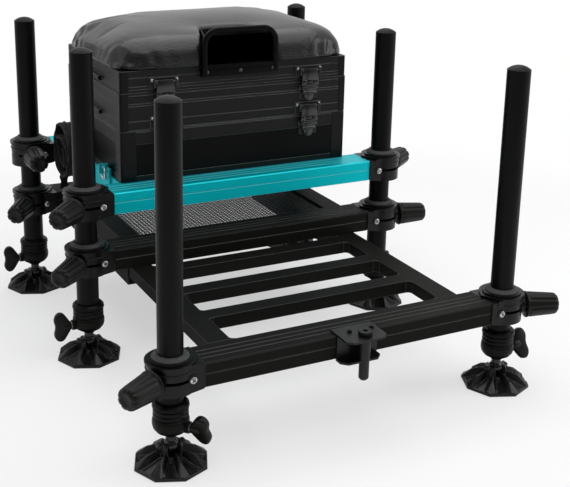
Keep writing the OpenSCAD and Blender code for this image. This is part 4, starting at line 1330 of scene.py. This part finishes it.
# rivet heads as radius and distance behind the face that they sit on
PLATE_RIVET = [(0.2, -4.1), (1.3, -3.9), (2.3, -3.3), (2.9, -2.3), (3.0, -1.2)]
STRIP_RIVET = [(0.2, -2.9), (1.6, -2.7), (2.9, -2.0), (3.5, -1.2), (3.6, -0.6)]
PLATE_RIVET_OUT = 21.5
PLATE_RIVET_HIGH = 19
STRIP_RIVET_OUT = 61


def lever_shell():
    """Latch lever: plate with a slot, pin, two ridges and a tongue. The origin is on the box at the seam."""
    shell = Shell()
    half = 16.4
    plate(shell, [(-half, -1), (half, -1), (13.8, 20.2), (-13.8, 20.2)], -9.0, -5.7, 0.7)
    lathe(shell, [(2.6, -16.6), (3.2, -16.0), (3.2, 16.0), (2.6, 16.6)], 32, (0, -5.5, 17))
    # reach in x, y and z, and rounding of the slot's sides, ends and bar, the ridges and the web
    for x, y, z, rounding in (
        ((-half, -7.2), (-8.9, -5.7), (-9, -0.8), 0.5),
        ((7.2, half), (-8.9, -5.7), (-9, -0.8), 0.5),
        ((-half, half), (-8.9, -5.7), (-10.6, -7.6), 0.6),
        ((-5.8, 5.8), (-7.9, -6.1), (-6.6, -2.6), 0.5),
        ((-16.2, 16.2), (-9.6, -5.4), (-18.0, -12.6), 1.5),
        ((-12.8, 12.8), (-7.4, -4.9), (-25, -10), 0.5),
        ((-14.2, 14.2), (-8.8, -4.6), (-25.2, -21.2), 1.3),
    ):
        block(shell, x, y, z, rounding)
    tongue = arc(0, -29, 9.4, 180, 360, 14) + [(10.6, -22), (-10.6, -22)]
    return plate(shell, tongue, -5.4, -2.5, 0.8)


class SEAT_OT_latches(bpy.types.Operator):
    """Makes the latch levers and the rivets of their plates"""

    bl_idname = "seat.latches"
    bl_label = "Latches"

    def execute(self, context):
        for level, seam in (("lid", LID_Z), ("tray", TRAY_Z)):
            rivets = Shell()
            for side in ("left", "right"):
                node = "latch_" + level + "_" + side
                x = JOINTS[node]["pos_m"][0]
                piece = set_down(lever_shell().build(node + "_lever", crease=45), (x, BOX_FRONT, seam))
                dress(piece, node, "latch_gunmetal", node)
                for out in (-PLATE_RIVET_OUT, PLATE_RIVET_OUT):
                    lathe(rivets, PLATE_RIVET, 24, (x / MM + out, 0, PLATE_RIVET_HIGH), (0, 1, 0))
            piece = set_down(rivets.build(level + "_latch_rivets", crease=60), (0, BOX_FRONT, seam))
            dress(piece, level, "bright_steel")
        return {"FINISHED"}


def arch_shell(shell, low, top, front):
    """Rounded rim swept along the grip's arch."""
    half, corner, wide, deep = 65.3, 24.0, 4.9, 4.2
    bend = top - wide - corner
    rise = [low + (bend - low) * k / 6 for k in range(6)]
    path = [(-half, z) for z in rise]
    path += arc(-half + corner, bend, corner, 180, 90, 12)
    path += [(-half + corner + (2 * half - 2 * corner) * k / 8, top - wide) for k in range(1, 8)]
    path += arc(half - corner, bend, corner, 90, 0, 12)
    path += [(half, z) for z in reversed(rise)]
    around = 20
    rings = []
    for k, (x, z) in enumerate(path):
        a, b = path[max(k - 1, 0)], path[min(k + 1, len(path) - 1)]
        ahead = Vector((b[0] - a[0], b[1] - a[1])).normalized()
        ring = []
        for n in range(around):
            angle = TAU * n / around
            c, s = math.cos(angle), math.sin(angle)
            u = wide * math.copysign(abs(c) ** 0.75, c)
            v = deep * math.copysign(abs(s) ** 0.8, s)
            ring.append((x - ahead[1] * u, front - 0.2 + v, z + ahead[0] * u))
        rings.append(ring)
    shell.loft(rings)


def finger_pocket(shell, base, front):
    """Open tray behind the arch, its walls rising to the cushion's top."""

    def plan(draw):
        mouth, rear, back = 65.8 - draw, 44.6 - draw, front + 77.8 - draw
        corner = [(mouth, front + 2.0), (rear, back - 10), *arc(rear - 10, back - 10, 10, 18, 90, 6)]
        return corner + [(-x, y) for x, y in reversed(corner)]

    rim = base + 50.0
    wall = 2.0
    outside = [(base + 0.2, plan(0)), (rim, plan(0)), (rim + 0.7, plan(wall / 2))]
    inside = [(rim, plan(wall)), (base + 6, plan(wall)), (base + 2.2, plan(5.0))]
    shell.stack(outside + inside)


class SEAT_OT_grip(bpy.types.Operator):
    """Makes the arched grip, its riveted strip and the finger pocket"""

    bl_idname = "seat.grip"
    bl_label = "Lift grip"

    def execute(self, context):
        base = PAD_LOW.z / MM
        top = PAD_HIGH.z / MM - 3
        strip_low = LID_Z / MM + 19
        strip_reach = (-70, 70)
        front = POCKET_FRONT / MM
        grip = Shell()
        arch_shell(grip, strip_low + 4, top, front)
        block(grip, strip_reach, (front - 1.2, front + 7.9), (strip_low, base - 1.4), 0.8)
        block(grip, strip_reach, (front - 3.0, front + 3.2), (base - 3.2, base + 0.6), 1.2)
        pocket = Shell()
        finger_pocket(pocket, base, front)
        rivets = Shell()
        for x in (-STRIP_RIVET_OUT, 0, STRIP_RIVET_OUT):
            lathe(rivets, STRIP_RIVET, 24, (x, front, (strip_low + base - 2) / 2), (0, 1, 0))
        for shell, name, crease, slot, finish in (
            (grip, "grip_arch", 50, "handle_plastic", "handle_black"),
            (pocket, "grip_pocket", 40, "handle_plastic", "pocket_black"),
            (rivets, "grip_rivets", 60, "screw_steel", "dark_steel"),
        ):
            dress(set_down(shell.build(name, crease=crease)), "lid", finish, "lift_handle")
        return {"FINISHED"}


# stage

# the photograph's viewpoint, found from the legs' edges
EYE = (-0.7692, MID_Y - 1.6211, 0.8178)
YAW, PITCH, ROLL = 0.4835, -0.27435, 0.0216
FOCAL_PX = 1089.2
FRAME_W = 570.0
SHIFT_Y = -0.15
WHITE = (1, 1, 1, 1)
FLOOR_REACH = 3.0
LAMP_TARGET = (0, 0, 0.3)
# place, size and share of the lamp power
LAMPS = {
    "lamp_above": ((0.1, 0.0, 2.3), (3.4, 2.6), 1.0),
    "lamp_left": ((-2.0, 0.2, 1.3), (1.2, 1.6), 0.08),
    "lamp_right": ((1.9, -0.9, 1.2), (1.0, 1.6), 0.25),
}


def make_floor(settings):
    """Pale paper that glows white far out, with its shadow lightened where it is seen."""
    corners = [(-FLOOR_REACH, -FLOOR_REACH), (FLOOR_REACH, -FLOOR_REACH)]
    corners += [(-x, -y) for x, y in corners]
    floor = new_mesh("floor", [(x, y, 0) for x, y in corners], [(0, 1, 2, 3)])
    f = Finish("floor_paper")
    paper_to, glow_from, mirror_dimming = 0.55, 1.5, 0.85
    away = f.between((f.x * f.x + f.y * f.y) ** 0.5, paper_to, glow_from)
    seen, mirrored = (f.add("ShaderNodeLightPath", output=k) for k in ("Is Camera Ray", "Is Glossy Ray"))
    away = (away * (1.0 - mirrored * mirror_dimming)).either(seen * settings.shadow_lift)
    fibre = f.bump(f.noise(300.0, 2.0), 0.00002)
    paper = f.add("ShaderNodeBsdfDiffuse", {}, {"Color": rgba(settings.floor_colour), "Normal": fibre})
    glow = f.add("ShaderNodeEmission", {}, {"Color": WHITE, "Strength": 1.0})
    f.end("ShaderNodeOutputMaterial", f.add("ShaderNodeMixShader", {}, {0: away, 1: paper, 2: glow}))
    floor.data.materials.append(f.material)


def make_lamp(name, place, size, power):
    """Soft rectangular lamp that faces the object."""
    data = bpy.data.lights.new(name, "AREA")
    data.shape = "RECTANGLE"
    data.size, data.size_y = size
    data.energy = power
    lamp = bpy.data.objects.new(name, data)
    lamp.location = place
    lamp.rotation_euler = (Vector(LAMP_TARGET) - Vector(place)).to_track_quat("-Z", "Y").to_euler()
    bpy.context.scene.collection.objects.link(lamp)


def make_world(scene):
    """White where it is seen. Gloss mirrors a studio that is bright behind, above and on the right."""
    world = bpy.data.worlds.new("studio")
    scene.world = world
    world.use_nodes = True
    w = Tree(world.node_tree)
    rays = ("Is Camera Ray", "Is Glossy Ray", "Is Transmission Ray")
    camera, mirrored, through = (w.add("ShaderNodeLightPath", output=k) for k in rays)
    seen = camera.either(through)
    direction = w.add("ShaderNodeTexCoord", output="Generated")
    side, behind, up = (w.add("ShaderNodeSeparateXYZ", {}, {0: direction}, k) for k in range(3))
    dim, from_behind, from_sides, from_right, from_above, fill = 0.04, 0.66, 0.08, 0.3, 0.3, 0.45
    glossy = dim + behind.either(0.0) * from_behind + side.size() * from_sides
    glossy = (glossy + side.either(0.0) * from_right + up.either(0.0) * from_above).clamped()
    strength = seen + (1.0 - seen) * (mirrored * glossy + (1.0 - mirrored) * fill)
    sky = w.add("ShaderNodeBackground", {}, {"Color": WHITE, "Strength": strength})
    w.end("ShaderNodeOutputWorld", sky)


def make_camera(scene):
    """Camera at the photograph's viewpoint."""
    data = bpy.data.cameras.new("camera")
    data.sensor_width = 36.0
    data.lens = FOCAL_PX / FRAME_W * data.sensor_width
    data.shift_y = SHIFT_Y
    data.clip_end = 50
    camera = bpy.data.objects.new("camera", data)
    scene.collection.objects.link(camera)
    ahead = Vector((math.sin(YAW) * math.cos(PITCH), math.cos(YAW) * math.cos(PITCH), math.sin(PITCH)))
    right = Vector((math.cos(YAW), -math.sin(YAW), 0))
    up = right.cross(ahead)
    tilt_right = math.cos(ROLL) * right + math.sin(ROLL) * up
    tilt_up = -math.sin(ROLL) * right + math.cos(ROLL) * up
    turn = Matrix((tilt_right, tilt_up, -ahead)).transposed()
    camera.matrix_world = Matrix.Translation(EYE) @ turn.to_4x4()
    scene.camera = camera


class SEAT_OT_stage(bpy.types.Operator):
    """Makes the floor, the lamps, the world and the camera"""

    bl_idname = "seat.stage"
    bl_label = "Stage"

    def execute(self, context):
        scene = context.scene
        settings = scene.seat_stage
        make_floor(settings)
        for name, (place, size, share) in LAMPS.items():
            make_lamp(name, place, size, settings.lamp_power * share)
        make_world(scene)
        make_camera(scene)
        scene.view_settings.view_transform = "Standard"
        return {"FINISHED"}


class SEAT_PT_panel(bpy.types.Panel):
    """Steps that dress the seat"""

    bl_label = "Fishing seat"
    bl_idname = "SEAT_PT_panel"
    bl_space_type = "VIEW_3D"
    bl_region_type = "UI"
    bl_category = "Seat"

    def draw(self, context):
        for step in STEPS:
            self.layout.operator(step.bl_idname)


SETTINGS = {
    "seat_finish": FinishSettings,
    "seat_cushion": CushionSettings,
    "seat_knob": KnobSettings,
    "seat_net": NetSettings,
    "seat_stage": StageSettings,
}
STEPS = [
    SEAT_OT_finishes,
    SEAT_OT_knobs,
    SEAT_OT_wings,
    SEAT_OT_feet,
    SEAT_OT_screws,
    SEAT_OT_net,
    SEAT_OT_fillets,
    SEAT_OT_posts,
    SEAT_OT_latches,
    SEAT_OT_grip,
    SEAT_OT_cushion,
    SEAT_OT_strap,
    SEAT_OT_stage,
]
CLASSES = [*SETTINGS.values(), *STEPS, SEAT_PT_panel]


def register():
    for made in CLASSES:
        bpy.utils.register_class(made)
    for name, group in SETTINGS.items():
        setattr(bpy.types.Scene, name, PointerProperty(type=group))


def unregister():
    for name in SETTINGS:
        delattr(bpy.types.Scene, name)
    for made in reversed(CLASSES):
        bpy.utils.unregister_class(made)


def main():
    register()
    for step in STEPS:
        group, call = step.bl_idname.split(".")
        getattr(getattr(bpy.ops, group), call)()


if __name__ == "__main__":
    main()
